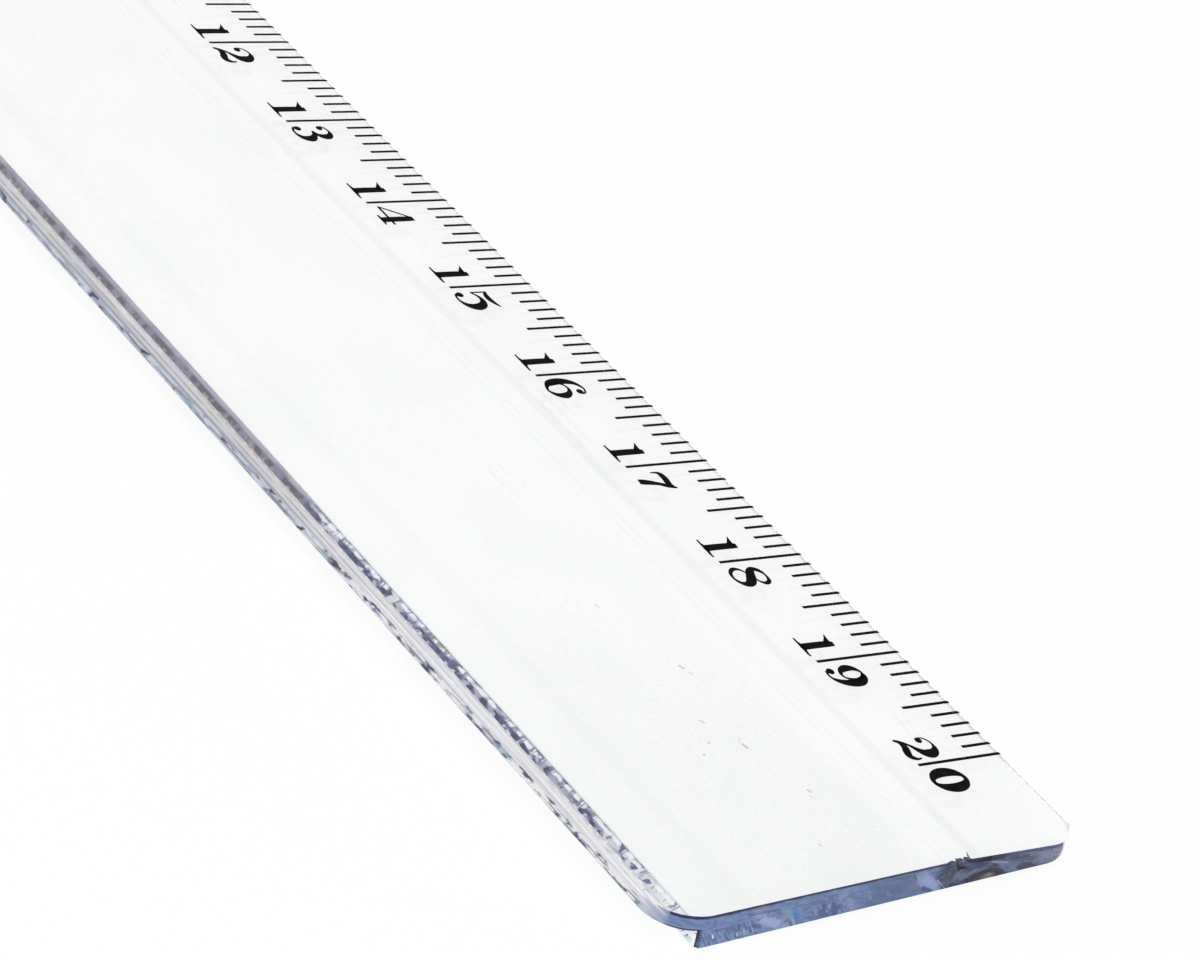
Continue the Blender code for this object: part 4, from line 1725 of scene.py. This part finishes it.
@dataclass(frozen=True)
class EdgeBurr:
    """The ragged flake left on the top edge of the 20 end, at the foot of the slope.

    The surface is B(s, t): s runs along the edge, and t from the blade's top over the edge and
    down the end face. Its inner side wanders by a sum of sines and ends in one long splinter.
    """

    section: Section = Section()
    end: float = 108.2
    start: float = 3.8
    stop: float = 6.2
    depth: float = 0.3
    splinter: float = 0.55
    lip: float = 0.09
    hang: float = 0.5
    rise: float = 0.03
    clearance: float = 0.004
    wall: float = 0.015
    stations: int = 90
    rows: int = 9

    def build(self, finish: bpy.types.Material) -> bpy.types.Object:
        """Make the flake.

        Args:
            finish: its material.

        Returns:
            The piece.
        """
        s, t = np.meshgrid(np.linspace(0, 1, self.stations), np.linspace(0, 1, self.rows), indexing="ij")
        swell = np.sin(math.pi * s) ** 0.5
        over, down = np.clip(2 * t, 0, 1), np.clip(2 * t - 1, 0, 1)
        ragged = 0.5 + 0.3 * np.sin(23 * s + 1) + 0.2 * np.sin(47 * s + 2.2)
        spike = np.exp(-(((s - 0.93) / 0.03) ** 2)) * self.splinter
        inner = self.depth * swell * ragged * np.clip(2.4 * s - 0.2, 0.15, 1) + spike
        outer = self.lip * swell * (0.7 + 0.3 * np.sin(31 * s + 0.7 + 4 * t))
        torn = 0.6 + 0.25 * np.sin(19 * s + 0.4) + 0.15 * np.sin(43 * s)
        bulge = outer * np.sin(math.pi * np.clip(t * 1.1, 0, 1)) ** 2
        x = self.end + self.clearance - inner * (1 - over) + bulge
        wave = 0.04 * np.sin(31 * s + 6 * t)
        y = self.start + (self.stop - self.start) * s + wave + 0.6 * spike * (1 - over)
        ground = self.section.top(self.section.half_width - y)
        lift = self.rise * swell * np.sin(math.pi * over) ** 2 * (0.6 + 0.4 * np.sin(29 * s + 5 * t))
        z = ground + lift + self.clearance - self.hang * swell * torn * down * np.clip(2.2 * s, 0.2, 1)
        points = np.stack((x, y, z), axis=-1).reshape(-1, 3)
        row, column = np.meshgrid(np.arange(self.stations - 1), np.arange(self.rows - 1), indexing="ij")
        first = row * self.rows + column
        after = first + self.rows
        faces = np.stack((first, after, after + 1, first + 1), axis=-1).reshape(-1, 4)
        burr = make_piece("end_burr", points, [faces], [finish])
        wall = burr.modifiers.new("wall", "SOLIDIFY")
        wall.thickness = self.wall * MM
        wall.offset = -1
        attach(burr, BODY)
        return burr


@dataclass(frozen=True)
class Studio:
    """The white table, the soft light and the camera.

    `right`, `up` and `back` are the camera's axes. Its place `eye` and the table's sizes are in
    millimetres, the lamp's place and size and the camera's `clip` in metres.
    """

    lens: float = 142.937
    sensor_width: float = 36.0
    clip: tuple[float, float] = (0.01, 20.0)
    eye: tuple[float, float, float] = (243.08, -175.27, 153.12)
    right: tuple[float, float, float] = (0.5636526, 0.7744778, 0.2871932)
    up: tuple[float, float, float] = (-0.5791766, 0.1226626, 0.8059208)
    back: tuple[float, float, float] = (0.5889399, -0.6205949, 0.5176985)
    surround: float = 0.5
    lamp_size: float = 1.6
    lamp_power: float = 12.0
    lamp_place: tuple[float, float, float] = (0.25, -0.3, 0.9)
    table_white: Colour = (0.92, 0.92, 0.92)
    table_glow: float = 0.87
    table_size: float = 900.0
    table_drop: float = 0.01

    def camera(self) -> None:
        """Stand the camera where the photograph was taken from."""
        data = bpy.data.cameras.new("camera")
        data.lens = self.lens
        data.sensor_width = self.sensor_width
        data.sensor_fit = "HORIZONTAL"
        data.clip_start, data.clip_end = self.clip
        camera = bpy.data.objects.new("camera", data)
        turn = Matrix((self.right, self.up, self.back)).transposed().to_4x4()
        camera.matrix_world = Matrix.Translation(Vector(self.eye) * MM) @ turn
        bpy.context.scene.collection.objects.link(camera)
        bpy.context.scene.camera = camera

    def world(self) -> None:
        """Soft even light from all round, white to the camera and in what mirrors it."""
        world = bpy.data.worlds.new("studio")
        bench = Bench(world)
        seen = bench.rays(*VIEWING_RAYS)
        strength = seen * (1.0 - self.surround) + self.surround
        back = bench.node("ShaderNodeBackground", None, {"Strength": strength}).outputs[0]
        bench.node("ShaderNodeOutputWorld", None, {"Surface": back})
        bpy.context.scene.world = world

    def lamp(self) -> None:
        """One broad soft lamp above the table."""
        data = bpy.data.lights.new("soft_lamp", "AREA")
        data.shape = "RECTANGLE"
        data.size = self.lamp_size
        data.size_y = self.lamp_size
        data.energy = self.lamp_power
        lamp = bpy.data.objects.new("soft_lamp", data)
        lamp.location = self.lamp_place
        lamp.visible_camera = False
        lamp.visible_glossy = False
        lamp.visible_transmission = False
        lamp.rotation_euler = (-lamp.location).to_track_quat("-Z", "Y").to_euler()
        bpy.context.scene.collection.objects.link(lamp)

    def table(self) -> bpy.types.Object:
        """The white table: one square under the ruler, a hair below it.

        Returns:
            The table.
        """
        bench = Bench.material("white_table")
        seen = bench.rays(*VIEWING_RAYS)
        paper = bench.node("ShaderNodeBsdfDiffuse", None, {"Color": self.table_white}).outputs[0]
        glow = bench.node("ShaderNodeEmission", None, {"Strength": 1.0}).outputs[0]
        material = bench.close(bench.blend(seen * self.table_glow, paper, glow))
        size = self.table_size
        plan = np.array([(-size, -size), (size, -size), (size, size), (-size, size)])
        points = np.concatenate((plan, np.full((4, 1), -self.table_drop)), axis=1)
        table = make_piece("table", points, [np.array([[0, 1, 2, 3]])], [material])
        return table

    def build(self) -> None:
        """Set the whole studio up."""
        self.camera()
        self.world()
        self.lamp()
        self.table()
        bpy.context.scene.view_settings.view_transform = "Standard"


@dataclass(frozen=True)
class Ruler:
    """The whole ruler: the clear moulding and everything that is printed on it."""

    skin: PolishedSkin = PolishedSkin()
    rim: CutRim = CutRim()
    foot: SteppedFoot = SteppedFoot()
    torn: TornPlastic = TornPlastic()
    foil: BlackFoil = BlackFoil()

    def dress_foil_nodes(self, finish: bpy.types.Material) -> None:
        """Give the model's own foil strips their finish.

        Args:
            finish: the foil's material.
        """
        for name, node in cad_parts.items():
            if name != "ruler_blade":
                for slot in node.material_slots:
                    slot.material = finish
                LOG.info("%s: dressed", name)

    def build(self) -> None:
        """Make every piece and report it."""
        finishes = [self.skin.dress(), self.rim.dress(), self.foot.dress()]
        foil = self.foil.dress()
        pieces = [ClearBlade().build(finishes), EdgeBurr().build(self.torn.dress())]
        pieces += MillimetreLines().build(foil)
        pieces += Numerals().build(foil)
        self.dress_foil_nodes(foil)
        for piece in pieces:
            LOG.info("%s: %d faces", piece.name, len(piece.data.polygons))


def main() -> None:
    """Set up the studio, build the ruler and log each piece's face count."""
    logging.basicConfig(level=logging.INFO, format="%(message)s")
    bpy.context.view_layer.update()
    Studio().build()
    Ruler().build()


if __name__ == "__main__":
    main()
